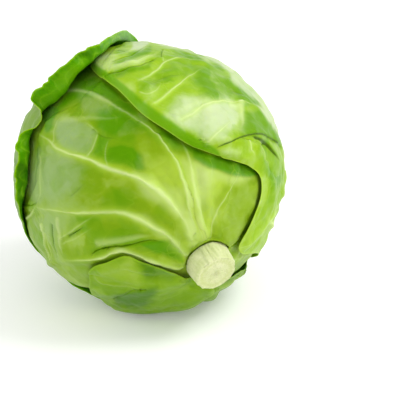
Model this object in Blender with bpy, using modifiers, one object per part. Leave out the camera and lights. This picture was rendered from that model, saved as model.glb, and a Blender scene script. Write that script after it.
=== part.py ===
"""A whole green cabbage head lying on its side, as separate wrapper leaves round a dense heart.

Units are metres, +Z is up and the head stands on Z = 0. The stem end points to the front right.
Places on the head are given as on a small globe whose pole is the stem end: the polar angle runs
from the stem (0 degrees) to the crown (180), and the azimuth runs round the stem axis from the
middle of the front leaf. Each leaf is a thin sheet wrapped on that globe, over the leaves below it.
"""
import math
from dataclasses import dataclass

import bmesh
import bpy
import numpy as np

# Driving dimensions of the whole head
HEAD_RADIUS = 0.0905
CENTRE = (0.0012, 0.0015, 0.0866)
STEM_HEADING = -61.9
STEM_DIP = 19.5
FRONT_AZIMUTH = 19.1

# Heart: lumpy, a little flat at the stem, and smaller on the side where the most leaves overlap
HEART_RADIUS = 0.0886
LUMP_HEIGHT = 0.0007
STEM_FLATTENING = 0.0025
FLATTENED_FROM = 0.75
CROWDED_SIDE = (95, -95)
CROWDING = 0.0058

# Leaves and what lies between them: lengths in metres, rib widths in degrees of arc
BLADE = 0.0010
LEAF_GAP = 0.0013
COVER_MARGIN = 0.006
COVER_FADE = 0.018
FLOOR_EASING = 0.0025
PRESSED_FLAT = 0.00005
LIFTED_FROM = 0.55
LIFTED_BY = 0.97
WAVED_BEND = 40.0

# Ribs: heights in metres, widths in degrees of arc, and how they taper away from the stem
TALLEST_RIB = 0.0038
THICKEST = BLADE + TALLEST_RIB
MIDRIB_WIDTH = 8.0
MIDRIB_REACH = 0.9
MIDRIB_TIP_SHARE = 0.2
SIDE_RIB_WIDTH = 4.5
SIDE_RIB_SHARE = 0.50
SIDE_RIB_TIP_SHARE = 0.4
SIDE_RIB_CURVE = 1.3
RIB_CLEARANCE = 3.5
TAPER_LENGTH = 2.1

# Stalk
STALK_RADIUS = 0.0155
STALK_CUT_RADIUS = 0.0145
STALK_LENGTH = 0.0145
STALK_GAP = 0.0006
STALK_CLEARANCE = 0.0012
STALK_ARC = math.asin((STALK_RADIUS + STALK_CLEARANCE) / HEART_RADIUS)
STALK_SIDES = 40
STALK_RIM = 0.0008

# Mesh fineness: rings stand closer near the margin, and corners near a rib are pulled onto it
HEART_SUBDIVISIONS = 4
RIB_PULL = 0.34
RING_CROWDING = 0.85
ROUNDING = (-5, -2.5, 0, 2.5, 5)
BRIM_ROUNDING = (-2, 0, 2)
MERGE_DISTANCE = 0.00002


@dataclass
class Leaf:
    """One leaf. Control points are (bearing at the leaf's middle, value), bearing 0 being the tip.

    Ribs are routes of (distance along the midrib from the stem, distance across it) in degrees.
    Rings count the rows of cells from the middle to the margin, and on across the brim. A brim bends
    over the first share of its length, and is straight from there.
    """

    name: str
    azimuth: float
    middle: float
    outline: list
    brim_length: list
    brim_bend: list
    lift: list
    ribs: list
    rib_height: float
    colour: tuple
    blade_rings: int
    brim_rings: int
    fold_share: float = 1.0
    wave_count: int = 14
    wave_bend: float = 0.0


def paired_ribs(starts, lean, spread):
    """Side ribs on both sides of a midrib, leaving it at the given distances from the stem."""
    steps = (0, 0.25, 0.5, 0.75, 1)
    ribs = []
    for start in starts:
        for side in (spread, -spread):
            ribs.append([(start + lean * step**SIDE_RIB_CURVE, side * step) for step in steps])
    return ribs


# From the innermost leaf to the outermost: reach in degrees of arc, lengths in metres
LEAVES = [
    Leaf(
        name="leaf_rear",
        azimuth=-130,
        middle=70,
        outline=[(0, 60), (39, 63), (73, 75), (103, 65), (140, 51), (166, 57), (180, 59),
                 (-166, 57), (-140, 51), (-103, 65), (-73, 75), (-39, 63)],
        brim_length=[(0, 0.006)],
        brim_bend=[(0, 0)],
        lift=[(0, 0)],
        ribs=paired_ribs((16, 38, 64), 38, 56),
        rib_height=0.0015,
        colour=(0.36, 0.56, 0.13),
        blade_rings=8,
        brim_rings=1,
    ),
    Leaf(
        name="leaf_front",
        azimuth=0,
        middle=75,
        outline=[(0, 64), (25, 68), (54, 84), (78, 96), (100, 101), (115, 98), (126, 87),
                 (139, 75), (150, 73), (162, 72), (168, 70.5), (173, 69), (180, 64), (-170, 70),
                 (-158, 69), (-139, 62), (-118, 70), (-89, 79), (-60, 82), (-39, 76), (-25, 68)],
        brim_length=[(0, 0.006)],
        brim_bend=[(0, 0)],
        lift=[(0, 0)],
        ribs=[
            [(14, 4), (36, 8), (48, 12), (67, 27), (87, 41), (105, 46), (122, 48)],
            [(14, 9), (29, 18), (45, 32), (62, 54), (75, 67), (86, 80)],
            [(8, 14), (17, 29), (29, 39), (35, 57), (45, 74), (52, 92)],
            [(16, -4), (40, -12), (62, -26), (84, -38), (108, -42)],
            [(12, -8), (33, -21), (42, -30), (58, -50), (66, -70)],
        ],
        rib_height=TALLEST_RIB,
        colour=(0.34, 0.55, 0.09),
        blade_rings=12,
        brim_rings=1,
    ),
    Leaf(
        name="leaf_crown",
        azimuth=-95,
        middle=95,
        outline=[(0, 58), (19, 60), (36, 72), (42, 80), (50, 88), (59, 95.5), (70, 98), (82, 98),
                 (91, 97), (105, 94), (116, 89), (124, 84), (131, 78), (138, 70), (144, 62.5),
                 (149, 57), (160, 58), (171, 70), (180, 80), (-171, 71), (-158, 62), (-129, 60),
                 (-93, 57), (-59, 62), (-26, 64)],
        brim_length=[(0, 0.006), (90, 0.006), (96, 0.0075), (105, 0.0095), (130, 0.0095), (144, 0.006)],
        brim_bend=[(20, 0), (50, -15), (66, -45), (96, -55), (135, -55), (150, 5), (-150, 10), (-40, 0)],
        lift=[(20, 0), (55, 0.0025), (75, 0.0040), (92, 0.0050), (104, 0.0060), (132, 0.0060), (152, 0),
              (-60, 0)],
        ribs=[
            [(34, 0), (44, 22), (50, 42), (47, 65)],
            [(50, 0), (66, 22), (76, 42), (72, 62), (63, 80)],
            [(76, 0), (90, 28), (98, 54), (106, 72), (102, 90)],
            [(34, 0), (48, -22), (60, -44)],
            [(50, 0), (68, -26), (82, -50)],
            [(76, 0), (94, -26), (108, -48)],
        ],
        rib_height=0.0028,
        colour=(0.55, 0.72, 0.25),
        blade_rings=12,
        brim_rings=3,
        fold_share=0.4,
    ),
    Leaf(
        name="leaf_under",
        azimuth=180,
        middle=125,
        outline=[(3, 120.5), (9, 109.5), (15, 97.5), (20, 84), (26, 77), (40, 71), (54, 60), (82, 46),
                 (129, 50), (153, 70), (166, 92), (180, 106), (-166, 92), (-136, 76.5), (-118, 74),
                 (-108, 70), (-99, 68), (-93, 72), (-88, 83), (-83, 96), (-77, 107), (-70, 111),
                 (-64, 113), (-57, 113), (-52, 113), (-46, 114), (-41, 111), (-37, 117), (-32, 119),
                 (-26, 121), (-20, 124), (-13, 125), (-7, 124), (-3, 124)],
        brim_length=[(-13, 0.0142), (-11, 0.0118), (-9, 0.0145), (-6, 0.0108), (-1, 0.0078), (4, 0.0070),
                     (11, 0.0070), (14, 0.0082), (16, 0.0095), (18, 0.0100), (20, 0.005), (26, 0.004),
                     (40, 0.006), (150, 0.006), (-150, 0.0045), (-92, 0.0045), (-82, 0.005), (-78, 0.0062),
                     (-75, 0.0105), (-72, 0.0125), (-67, 0.0120), (-64, 0.0100), (-61, 0.0085), (-58, 0.0155),
                     (-55, 0.0120), (-53, 0.009), (-47, 0.010), (-42, 0.010), (-37, 0.017), (-33, 0.020),
                     (-29, 0.021), (-25, 0.018), (-20, 0.016)],
        brim_bend=[(0, 105), (13, 92), (19, 80), (23, 10), (90, 18), (150, 0), (-150, 4),
                   (-120, 12), (-92, 8), (-84, 25), (-79, 40), (-75, 92), (-52, 96), (-48, 8), (-42, 8),
                   (-37, 105)],
        lift=[(0, 0)],
        ribs=[
            [(22, 0), (42, 24), (58, 36)],
            [(60, 0), (88, 26), (106, 38)],
            [(98, 0), (128, 24), (154, 36)],
            [(138, 0), (166, 22), (192, 34)],
            [(22, 0), (44, -30), (60, -52)],
            [(60, 0), (90, -38), (106, -66)],
            [(98, 0), (134, -36), (152, -66)],
            [(138, 0), (172, -32), (204, -52)],
        ],
        rib_height=0.0028,
        colour=(0.16, 0.38, 0.04),
        blade_rings=15,
        brim_rings=5,
        fold_share=0.45,
        wave_count=26,
        wave_bend=8,
    ),
    Leaf(
        name="leaf_remnant",
        azimuth=100,
        middle=32,
        outline=[(-174, 16), (-153, 15), (-129, 15), (-109, 17), (-96, 21), (-85, 20), (-71, 19),
                 (-59, 20), (-46, 20), (-32, 19), (-20, 18), (3, 20), (25, 23), (44, 28), (65, 27),
                 (79, 27), (91, 27), (105, 28), (118, 29), (148, 30), (160, 26), (172, 18)],
        brim_length=[(0, 0.004)],
        brim_bend=[(0, 8)],
        lift=[(0, 0)],
        ribs=[[(16, 0), (28, 8), (40, 14)], [(16, 0), (28, -6), (38, -10)]],
        rib_height=0.0020,
        colour=(0.38, 0.60, 0.12),
        blade_rings=5,
        brim_rings=1,
    ),
]

HEART_COLOUR = (0.62, 0.72, 0.34)
STALK_COLOUR = (0.78, 0.82, 0.58)


def head_axes():
    """The stem direction and the two directions across it, the first on the front leaf's side."""
    heading, dip = math.radians(STEM_HEADING), math.radians(-STEM_DIP)
    stem = np.array([math.cos(dip) * math.cos(heading), math.cos(dip) * math.sin(heading), math.sin(dip)])
    top = np.array([0.0, 0.0, 1.0]) - stem[2] * stem
    top /= np.linalg.norm(top)
    side = np.cross(stem, top)
    turn = math.radians(FRONT_AZIMUTH)
    front = math.cos(turn) * top + math.sin(turn) * side
    return stem, front, np.cross(stem, front)


STEM, FRONT, SIDE = head_axes()


def direction(polar, azimuth):
    """Unit vector on the globe at a polar angle and an azimuth in degrees."""
    polar, azimuth = math.radians(polar), math.radians(azimuth)
    across = math.cos(azimuth) * FRONT + math.sin(azimuth) * SIDE
    return math.cos(polar) * STEM + math.sin(polar) * across


def leaf_axes(leaf):
    """Directions of a leaf's middle, of its tip from there and of its left side from there."""
    return (
        direction(leaf.middle, leaf.azimuth),
        direction(leaf.middle + 90, leaf.azimuth),
        direction(90, leaf.azimuth + 90),
    )


def wrap(leaf, reach, bearing):
    """Unit vectors at an arc (degrees) and a bearing (degrees) from the leaf's middle."""
    middle, tip, side = leaf_axes(leaf)
    arc, turn = np.radians(reach)[:, None], np.radians(bearing)[:, None]
    return np.cos(arc) * middle + np.sin(arc) * (np.cos(turn) * tip + np.sin(turn) * side)


def unwrap(leaf, rays):
    """The inverse of wrap: reach and bearing in degrees of unit vectors."""
    middle, tip, side = leaf_axes(leaf)
    reach = np.degrees(np.arccos(np.clip(rays @ middle, -1, 1)))
    return reach, np.degrees(np.arctan2(rays @ side, rays @ tip))


def blend(bearing, points, rounding=ROUNDING):
    """Value at each bearing, between control points and rounded over a few degrees."""
    points = sorted(points)
    at, value = [p[0] for p in points], [p[1] for p in points]
    turns = [np.interp(bearing + offset, at, value, period=360) for offset in rounding]
    return np.mean(turns, axis=0)


def ease(x):
    """Smooth step from 0 to 1."""
    x = np.clip(x, 0, 1)
    return x * x * (3 - 2 * x)


def globe(rays):
    """Radius of the heart along unit vectors: a lumpy ball, a little flat at the stem."""
    lumps = (
        np.sin(5.0 * rays[:, 0] + 1.0) * np.sin(4.0 * rays[:, 1] + 2.0)
        + np.sin(6.0 * rays[:, 2] - 1.5) * np.sin(5.0 * rays[:, 0] - 0.5)
    )
    at_stem = ease((rays @ STEM - FLATTENED_FROM) / (1 - FLATTENED_FROM))
    crowded = ease(0.5 + 0.5 * rays @ direction(*CROWDED_SIDE))
    return HEART_RADIUS + LUMP_HEIGHT * lumps - STEM_FLATTENING * at_stem - CROWDING * crowded


def brim_arc(leaf, bearing):
    """Length of the brim in degrees of arc."""
    return np.degrees(blend(bearing, leaf.brim_length, BRIM_ROUNDING) / HEAD_RADIUS)


def margin(leaf, bearing):
    """Arc in degrees from the leaf's middle to where its brim starts, stopped short of the stalk."""
    reach = blend(bearing, leaf.outline)
    middle = math.radians(leaf.middle)
    toward = -np.cos(np.radians(bearing)) * math.sin(middle)
    size = np.hypot(math.cos(middle), toward)
    meets = (toward > 0) & (size > math.cos(STALK_ARC))
    turn = np.arccos(math.cos(STALK_ARC) / np.where(meets, size, 1.0))
    stop = np.degrees(np.arctan2(toward, math.cos(middle)) - turn) - brim_arc(leaf, bearing)
    return np.where(meets, np.minimum(reach, stop), reach)


def to_route(spots, route):
    """Nearest places on a route to spots in the leaf's plane, how far off, and how far along it."""
    best = np.full(len(spots), np.inf)
    along = np.zeros(len(spots))
    nearest = spots.copy()
    route = np.array(route, dtype=float)
    for number, (start, end) in enumerate(zip(route[:-1], route[1:])):
        span = end - start
        share = np.clip((spots - start) @ span / (span @ span), 0, 1)
        place = start + share[:, None] * span
        distance = np.linalg.norm(spots - place, axis=1)
        nearer = distance < best
        best = np.where(nearer, distance, best)
        along = np.where(nearer, (number + share) / (len(route) - 1), along)
        nearest[nearer] = place[nearer]
    return nearest, best, along


def midrib(leaf):
    """Route of a leaf's midrib, from beside the stalk to near the tip."""
    tip = float(margin(leaf, np.zeros(1))[0])
    return [(0, 0), (leaf.middle + MIDRIB_REACH * tip, 0)]


def plane(leaf, reach, bearing):
    """Distances in degrees along and across the midrib, the first from the stem."""
    turn = np.radians(bearing)
    return np.stack([leaf.middle + reach * np.cos(turn), reach * np.sin(turn)], axis=1)


def rib_thickness(leaf, reach, bearing, clear=0.0):
    """Extra thickness over the ribs, which thin out away from the stem, and within a clear distance."""
    spots = plane(leaf, reach, bearing)
    taper = 1 - ease(spots[:, 0] / (TAPER_LENGTH * leaf.middle))
    _, distance, _ = to_route(spots, midrib(leaf))
    width = SIDE_RIB_WIDTH + (MIDRIB_WIDTH - SIDE_RIB_WIDTH) * taper
    strength = MIDRIB_TIP_SHARE + (1 - MIDRIB_TIP_SHARE) * taper
    height = strength * np.clip(1 + (clear - distance) / width, 0, 1)
    strength = SIDE_RIB_SHARE * (SIDE_RIB_TIP_SHARE + (1 - SIDE_RIB_TIP_SHARE) * taper)
    for route in leaf.ribs:
        _, distance, _ = to_route(spots, route)
        share = np.clip(1 + (clear - distance) / SIDE_RIB_WIDTH, 0, 1)
        height = np.maximum(height, strength * share)
    return leaf.rib_height * height


def lift_of(leaf, reach, bearing):
    """Height by which the outer part of a blade stands off what is below it."""
    outer_part = (reach / margin(leaf, bearing) - LIFTED_FROM) / (LIFTED_BY - LIFTED_FROM)
    return blend(bearing, leaf.lift) * ease(outer_part)


def cover(leaf, reach, bearing):
    """1 where a leaf covers the globe, falling to 0 a little way outside its margin."""
    outside = np.radians(reach - margin(leaf, bearing) - brim_arc(leaf, bearing)) * HEAD_RADIUS
    return 1 - ease((outside - COVER_MARGIN) / COVER_FADE)


def layer(leaf, rays):
    """Height that a leaf adds to the stack along unit vectors."""
    reach, bearing = unwrap(leaf, rays)
    height = LEAF_GAP + BLADE + lift_of(leaf, reach, bearing)
    height = height + rib_thickness(leaf, reach, bearing, RIB_CLEARANCE)
    return cover(leaf, reach, bearing) * height


def above_floor(points, least):
    """Points, measured from the head's centre, kept at least a height above the floor."""
    height = points[:, 2] + CENTRE[2] - least
    eased = (height + FLOOR_EASING) ** 2 / (4 * FLOOR_EASING)
    kept = np.where(height > FLOOR_EASING, height, np.where(height < -FLOOR_EASING, 0.0, eased))
    raised = points.copy()
    raised[:, 2] = kept + least - CENTRE[2]
    return raised


def layers_outside(index, rays):
    """Height of all the leaves that lie outside the given place in the stack."""
    total = np.zeros(len(rays))
    for leaf in LEAVES[index:]:
        total += layer(leaf, rays)
    return total


def blade_points(index, reach, bearing):
    """Inner face of a leaf's blade at arcs and bearings from its middle, before the brim."""
    leaf = LEAVES[index]
    rays = wrap(leaf, reach, bearing)
    radius = globe(rays) + LEAF_GAP + lift_of(leaf, reach, bearing)
    for lower in LEAVES[:index]:
        radius += layer(lower, rays)
    thickness = BLADE + rib_thickness(leaf, reach, bearing)
    return above_floor(rays * radius[:, None], thickness + layers_outside(index + 1, rays)), rays


def brim_points(index, bearing, fraction):
    """Inner face of a leaf's brim: the blade carried on past its margin, bent off it and then straight."""
    leaf = LEAVES[index]
    bend = blend(bearing, leaf.brim_bend, BRIM_ROUNDING)
    waves = leaf.wave_bend * np.sin(np.radians(bearing) * leaf.wave_count)
    bend = np.radians(bend + waves * np.clip(bend / WAVED_BEND, 0, 1))
    folded = np.clip(fraction / leaf.fold_share, 0, 1)
    turn = bend * folded
    chord = brim_arc(leaf, bearing) * leaf.fold_share * folded * np.sinc(turn / (2 * math.pi))
    straight = brim_arc(leaf, bearing) * np.clip(fraction - leaf.fold_share, 0, 1)
    advance = chord * np.cos(turn / 2) + straight * np.cos(bend)
    rise = chord * np.sin(turn / 2) + straight * np.sin(bend)
    follow, rays = blade_points(index, margin(leaf, bearing) + advance, bearing)
    points = follow + rays * (np.radians(rise) * HEAD_RADIUS)[:, None]
    return above_floor(points, BLADE + layers_outside(index + 1, rays))


def finish(name, mesh, colour, collection, roughness=0.45):
    """Object for a finished mesh, with its own material, in the head's collection."""
    material = bpy.data.materials.new(name)
    material.use_nodes = True
    shader = material.node_tree.nodes["Principled BSDF"]
    shader.inputs["Base Color"].default_value = (*colour, 1)
    shader.inputs["Roughness"].default_value = roughness
    mesh.materials.append(material)
    mesh.shade_smooth()
    piece = bpy.data.objects.new(name, mesh)
    piece.location = CENTRE
    collection.objects.link(piece)
    return piece


def pulled_to_ribs(leaf, reach, bearing, inner):
    """Reach and bearing with the corners near a rib moved onto it, apart from the outer rings."""
    spots = plane(leaf, reach, bearing)
    limit = RIB_PULL * margin(leaf, bearing) / leaf.blade_rings
    moved = spots.copy()
    best = np.where(inner, limit, 0.0)
    for route in [midrib(leaf)] + leaf.ribs:
        nearest, distance, along = to_route(spots, route)
        closer = (distance < best) & (along > 0) & (along < 1)
        best = np.where(closer, distance, best)
        moved[closer] = nearest[closer]
    along, across = moved[:, 0] - leaf.middle, moved[:, 1]
    return np.hypot(along, across), np.degrees(np.arctan2(across, along))


def make_leaf(index, collection):
    """A leaf: a square grid laid out in rings round the leaf's middle, wrapped and given thickness."""
    leaf = LEAVES[index]
    rings = leaf.blade_rings + leaf.brim_rings
    grid = bmesh.new()
    bmesh.ops.create_grid(grid, x_segments=2 * rings, y_segments=2 * rings, size=1)
    place = np.array([vert.co[:2] for vert in grid.verts])
    ring = np.max(np.abs(place), axis=1)
    square = place / np.where(ring < 1e-6, 1, ring)[:, None]
    x = square[:, 0] * np.sqrt(1 - square[:, 1] ** 2 / 2)
    y = square[:, 1] * np.sqrt(1 - square[:, 0] ** 2 / 2)
    bearing = np.degrees(np.arctan2(y, x))
    ring = np.round(ring * rings)

    reach = margin(leaf, bearing) * np.clip(ring / leaf.blade_rings, 0, 1) ** RING_CROWDING
    reach, blade_bearing = pulled_to_ribs(leaf, reach, bearing, ring < leaf.blade_rings)
    points, _ = blade_points(index, reach, blade_bearing)
    past = np.clip((ring - leaf.blade_rings) / leaf.brim_rings, 0, 1)
    points = np.where((past > 0)[:, None], brim_points(index, bearing, past), points)
    thickness = BLADE + rib_thickness(leaf, reach, blade_bearing)

    weights = grid.verts.layers.deform.verify()
    for vert, point, share in zip(grid.verts, points, thickness / THICKEST):
        vert.co = point
        vert[weights][0] = float(share)
    bmesh.ops.remove_doubles(grid, verts=grid.verts, dist=MERGE_DISTANCE)
    bmesh.ops.triangulate(grid, faces=grid.faces)
    mesh = bpy.data.meshes.new(leaf.name)
    grid.to_mesh(mesh)
    grid.free()
    piece = finish(leaf.name, mesh, leaf.colour, collection)
    piece.vertex_groups.new(name="thickness")
    shell = piece.modifiers.new("thickness", "SOLIDIFY")
    shell.thickness = THICKEST
    shell.offset = 1
    shell.vertex_group = "thickness"
    press_flat(piece)
    return piece


def press_flat(piece):
    """Fix the piece's thickness in its mesh, and make the part that meets the floor exactly flat."""
    depsgraph = bpy.context.evaluated_depsgraph_get()
    mesh = bpy.data.meshes.new_from_object(piece.evaluated_get(depsgraph))
    for vert in mesh.vertices:
        if vert.co.z + CENTRE[2] < PRESSED_FLAT:
            vert.co.z = -CENTRE[2]
    piece.modifiers.clear()
    piece.data = mesh


def make_heart(collection):
    """The packed inner head: a ball shaped by the globe's formula and kept off the floor."""
    ball = bmesh.new()
    bmesh.ops.create_icosphere(ball, subdivisions=HEART_SUBDIVISIONS, radius=1)
    rays = np.array([vert.co.normalized() for vert in ball.verts])
    points = above_floor(rays * globe(rays)[:, None], layers_outside(0, rays))
    for vert, point in zip(ball.verts, points):
        vert.co = point
    mesh = bpy.data.meshes.new("heart")
    ball.to_mesh(mesh)
    ball.free()
    return finish("heart", mesh, HEART_COLOUR, collection)


def make_stalk(collection):
    """The cut stump: a short cylinder on the stem axis, with a rounded rim at the cut."""
    stump = bmesh.new()
    bmesh.ops.create_cone(
        stump,
        cap_ends=True,
        segments=STALK_SIDES,
        radius1=STALK_RADIUS,
        radius2=STALK_CUT_RADIUS,
        depth=STALK_LENGTH,
    )
    middle = globe(STEM[None, :])[0] + STALK_GAP + STALK_LENGTH / 2
    for vert in stump.verts:
        vert.co = FRONT * vert.co.x + SIDE * vert.co.y + STEM * (vert.co.z + middle)
    mesh = bpy.data.meshes.new("stalk")
    stump.to_mesh(mesh)
    stump.free()
    piece = finish("stalk", mesh, STALK_COLOUR, collection, 0.7)
    mesh.set_sharp_from_angle(angle=math.radians(40))
    rim = piece.modifiers.new("rim", "BEVEL")
    rim.width = STALK_RIM
    rim.segments = 2
    rim.limit_method = "ANGLE"
    return piece


def main():
    """Clear the scene and build the head."""
    for piece in list(bpy.data.objects):
        bpy.data.objects.remove(piece)
    collection = bpy.data.collections.new("cabbage_head")
    bpy.context.scene.collection.children.link(collection)
    make_heart(collection)
    make_stalk(collection)
    for index in range(len(LEAVES)):
        make_leaf(index, collection)


main()
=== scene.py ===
"""Dressed model of a whole green cabbage head: wrapper leaves with veins, folds and waxy colour.

Every leaf repeats the frame's own formulas for its outline, its brim and the stack of leaves, on a
finer mesh, and adds veins, wrinkles, ruffles and materials. Places seen in the photograph are given
in its pixels and looked up on the head through the camera. Units are metres unless a name says mm.
"""
import math
from dataclasses import dataclass, field

import bmesh
import bpy
import numpy as np
from mathutils import Matrix, Vector


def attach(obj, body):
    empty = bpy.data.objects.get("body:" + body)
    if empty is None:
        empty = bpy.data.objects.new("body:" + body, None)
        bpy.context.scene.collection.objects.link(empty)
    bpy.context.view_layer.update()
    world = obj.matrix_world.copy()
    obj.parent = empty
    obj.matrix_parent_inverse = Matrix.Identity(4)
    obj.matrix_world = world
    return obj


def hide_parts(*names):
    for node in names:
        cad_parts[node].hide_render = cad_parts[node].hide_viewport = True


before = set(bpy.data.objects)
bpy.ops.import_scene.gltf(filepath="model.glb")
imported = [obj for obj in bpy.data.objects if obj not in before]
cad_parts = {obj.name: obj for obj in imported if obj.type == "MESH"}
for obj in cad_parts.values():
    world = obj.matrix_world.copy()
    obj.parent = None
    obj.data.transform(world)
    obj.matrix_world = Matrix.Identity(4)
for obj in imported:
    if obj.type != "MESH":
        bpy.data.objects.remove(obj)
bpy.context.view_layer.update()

# Driving dimensions, as in the frame
HEAD_RADIUS = 0.0905
CENTRE = np.array([0.0012, 0.0015, 0.0866])
STEM_HEADING = -61.9
STEM_DIP = 19.5
FRONT_AZIMUTH = 19.1
HEART_RADIUS = 0.0886
LUMP_HEIGHT = 0.0007
STEM_FLATTENING = 0.0025
FLATTENED_FROM = 0.75
CROWDED_SIDE = (95, -95)
CROWDING = 0.0058
BLADE = 0.0010
LEAF_GAP = 0.0013
COVER_MARGIN = 0.006
COVER_FADE = 0.018
FLOOR_EASING = 0.0025
LIFTED_FROM = 0.55
LIFTED_BY = 0.97
WAVED_BEND = 40.0
MIDRIB_WIDTH = 8.0
MIDRIB_REACH = 0.9
MIDRIB_TIP_SHARE = 0.2
SIDE_RIB_WIDTH = 4.5
SIDE_RIB_SHARE = 0.50
SIDE_RIB_TIP_SHARE = 0.4
SIDE_RIB_CURVE = 1.3
RIB_CLEARANCE = 3.5
TAPER_LENGTH = 2.1
RIB_MERGING = 6
STALK_RADIUS = 0.0155
STALK_CUT_RADIUS = 0.0145
STALK_LENGTH = 0.0145
STALK_GAP = 0.0006
STALK_CLEARANCE = 0.0012
STALK_ARC = math.asin((STALK_RADIUS + STALK_CLEARANCE) / HEART_RADIUS)
ROUNDING = (-5, -2.5, 0, 2.5, 5)
BRIM_ROUNDING = (-2, 0, 2)

# The photograph's frame and camera
PHOTO_SIZE = 420
HEAD_PIXEL = (152, 176)
METRES_PER_PIXEL = HEAD_RADIUS / 132
CAMERA_ELEVATION = 25
CAMERA_DISTANCE = 1.2
SENSOR = 36
SURFACE_RADIUS = 0.0915

MM = 0.001
TINY = 1e-12

# Lines on the leaves: reaches are in half widths of the line or in mm, the surroundings in radians
SIGHT_ROUNDS = 4
LINE_SETS = 4
LINE_SURROUNDINGS = 0.22
LINE_RANGE = 8
LINE_CUT_FROM = 2
LINE_CUT_FADE = 1.2
BROAD_VEIN = 1.0
BROAD_TAPER = 0.78
FINE_TAPER = 0.25
CREST_AT_BASE = 0.95
CREST_AT_TIP = 0.5
CREST_FADE_IN = 0.4
CREST_FADING = 0.3
PALE_AT_BASE = 0.45
HALO_BROAD = 1.9
HALO_FINE = 3.2
# FOLD_SHADE is the share of painted shade and light along folds and ledges, the halos their spread in half
# widths
FOLD_SHADE = 0.5
FOLD_HALO = 2.0
LEDGE_HALO = 3.0
LEDGE_REACH = 12.0

# Veins that the photograph doesn't show stay clear of the part that it does, which is where
# y + SHOWN_SLOPE x is below SHOWN_BELOW in pixels. The branches' reach and angle are in degrees.
TRACED_CLEARANCE = 0.2
SHOWN_SLOPE = 1.27
SHOWN_BELOW = 500
BRANCHED_PART = (0.25, 0.92, 5)
BRANCH_PARTS = (0.33, 0.66, 1.0)
BRANCH_LENGTHS = (0.8, 1.2)
BRANCH_LONGEST = 1.1
BRANCH_SHORTENING = 0.45
BRANCH_TURN = 8
BRANCH_STRAIGHTENING = 0.45
BRANCH_REACH_ANGLE = (17, 42)
TWIG_REACH_ANGLE = (8, 50)
HIDDEN_RIB = {"width": 2.2, "height": 1.0, "shade": 0.8, "fade_out": 0.4}
HIDDEN_BRANCH = {"width": 0.8, "height": 0.3, "shade": 0.5, "fade_out": 0.6}
HIDDEN_TWIG = {"width": 0.5, "height": 0.1, "shade": 0.25, "fade_out": 0.6}

# Relief of the leaves, in mm unless a name says otherwise
FAR_AWAY = 40.0
QUILTING_VEIN = 0.7
QUILT_HEIGHT = 1.2
QUILT_REACH = 7.0
UNQUILTED_END = 30
WRINKLE_LENGTH = 14
WRINKLE_FADE = 6
SWELL_HEIGHT = 0.35
SWELL_LENGTH = 34
ROOM_MARGIN = 3
ROOM_FADE = 5
THIN_AT_RIM = 0.55
RIM_FADE = 7
RIM_BULGE = 0.35
HIDDEN_RIDGE = 0.3
RIDGE_FADE = 4
RING_CROWDING = 0.85
EDGE_WOBBLE = 0.22
# Waves of the edge: count, swing, count of the swing and share
EDGE_WAVES = [(23, 3, 5, 1.0), (57, 2, 9, 0.6)]
# Ruffles of a brim: count, count of their wander, phase, share and power of the distance out
RUFFLES = [(41, 7, 0, 1.0, 1), (83, 11, 1, 0.6, 2)]

# Patches of colour, with painted shade, light, highlights and sheen among them, whose places are in the
# photograph's pixels
PATCH_EDGE = 2.0
PATCH_WANDER = 1.2
PATCH_WANDER_LENGTH = 16
TURNED_AWAY = -0.15
TURNING = 0.2
TURNED_BRIM = 50.0
BRIM_END_LENGTH = 14.0

# Leaf material: noises are (bumps per metre, detail), nets (cells per metre, vein width in mm, seed)
NOISES = {"large": (26.0, 2.0), "middling": (85.0, 3.0), "fine": (420.0, 3.0), "grain": (1800.0, 2.0)}
WARP_SCALE = 45.0
WARP_LENGTH = 0.022
COARSE_NET = (55.0, 0.7, 0.0)
SMALL_NET = (150.0, 0.35, 3.0)
SMALL_NET_SHARE = 0.45
NET_SMOOTHNESS = 0.35
NET_BREAKS = 0.7
NET_KEPT_BAND = (-0.02, 0.2)
LINE_SHARPNESS = 1.2
TONE_AMOUNTS = {"patch": 0.7, "small_patch": 0.25, "large": 1.2, "middling": 0.5, "fine": 0.15}
WAX_AMOUNTS = {"patch": 0.45, "small_patch": 0.2, "middling": 0.9, "large": 0.8, "fine": 0.25}
PALE_AMOUNTS = {"patch": 0.3, "middling": 0.5}
BUMP_HEIGHTS = {"line": 0.22, "net": 0.12, "fine": 0.12, "grain": 0.02, "middling": 0.6, "patch": 0.3}
WAX_BAND = (-0.05, 1.3)
BRIM_BAND = (0.05, 0.3)
RIM_WIDTH = 0.9
LIGHT_SHARE = 1.0
DARK_SHARE = 0.9
PALE_SHARE = 0.8
NET_SHARE = 0.2
GLOW_SHARE = 0.7
BRIM_SHARE = 0.85
CREASE_DARKNESS = 0.4
WAX_ROUGHNESS = 0.12
FINE_ROUGHNESS = 0.12
WHITE = (1, 1, 1, 1)
GREEN_SHEEN = (0.8, 1.0, 0.08, 1)

# Heart's low steps, as (polar angle, azimuth, lean) and in mm
HEART_STEPS = [(60, 20, 0.2), (100, -110, 0.1), (120, 130, 0.25), (80, -30, -0.2)]
STEP_HEIGHT = 0.35
STEP_EDGE = 0.5
STEP_LENGTH = 30
STEP_WANDER = 0.03
STEP_WANDER_LENGTH = 60
HEART_SUNK = 0.25
HEART_RIPPLE = 0.15
HEART_RIPPLE_LENGTH = 30

# Stalk: points round it, where its side starts in the profile, and relief in metres
STALK_TURNS = 120
SIDE_FROM = 4
SIDE_SUNK = 0.0005
SIDE_RIDGE = 0.00035
SIDE_FIBRE = 0.00018
CUT_HOLLOW = 0.0007
CUT_RING = 0.00012

# Studio
FLOOR_SIZE = 8.0
FLOOR_GLOW = 0.12
WALL_BRIGHTNESS = 1.08
WALL_TOP = 0.2
CEILING_BRIGHTNESS = 0.74
CEILING_FROM = 0.75
LIGHTS = [
    ("right", (0.75, -0.05, 1.05), 0.6, 8.0),
    ("left", (-1.05, -0.10, 0.65), 0.6, 3.0),
    ("front", (0.15, -1.30, 0.90), 1.0, 2.0),
]


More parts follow.
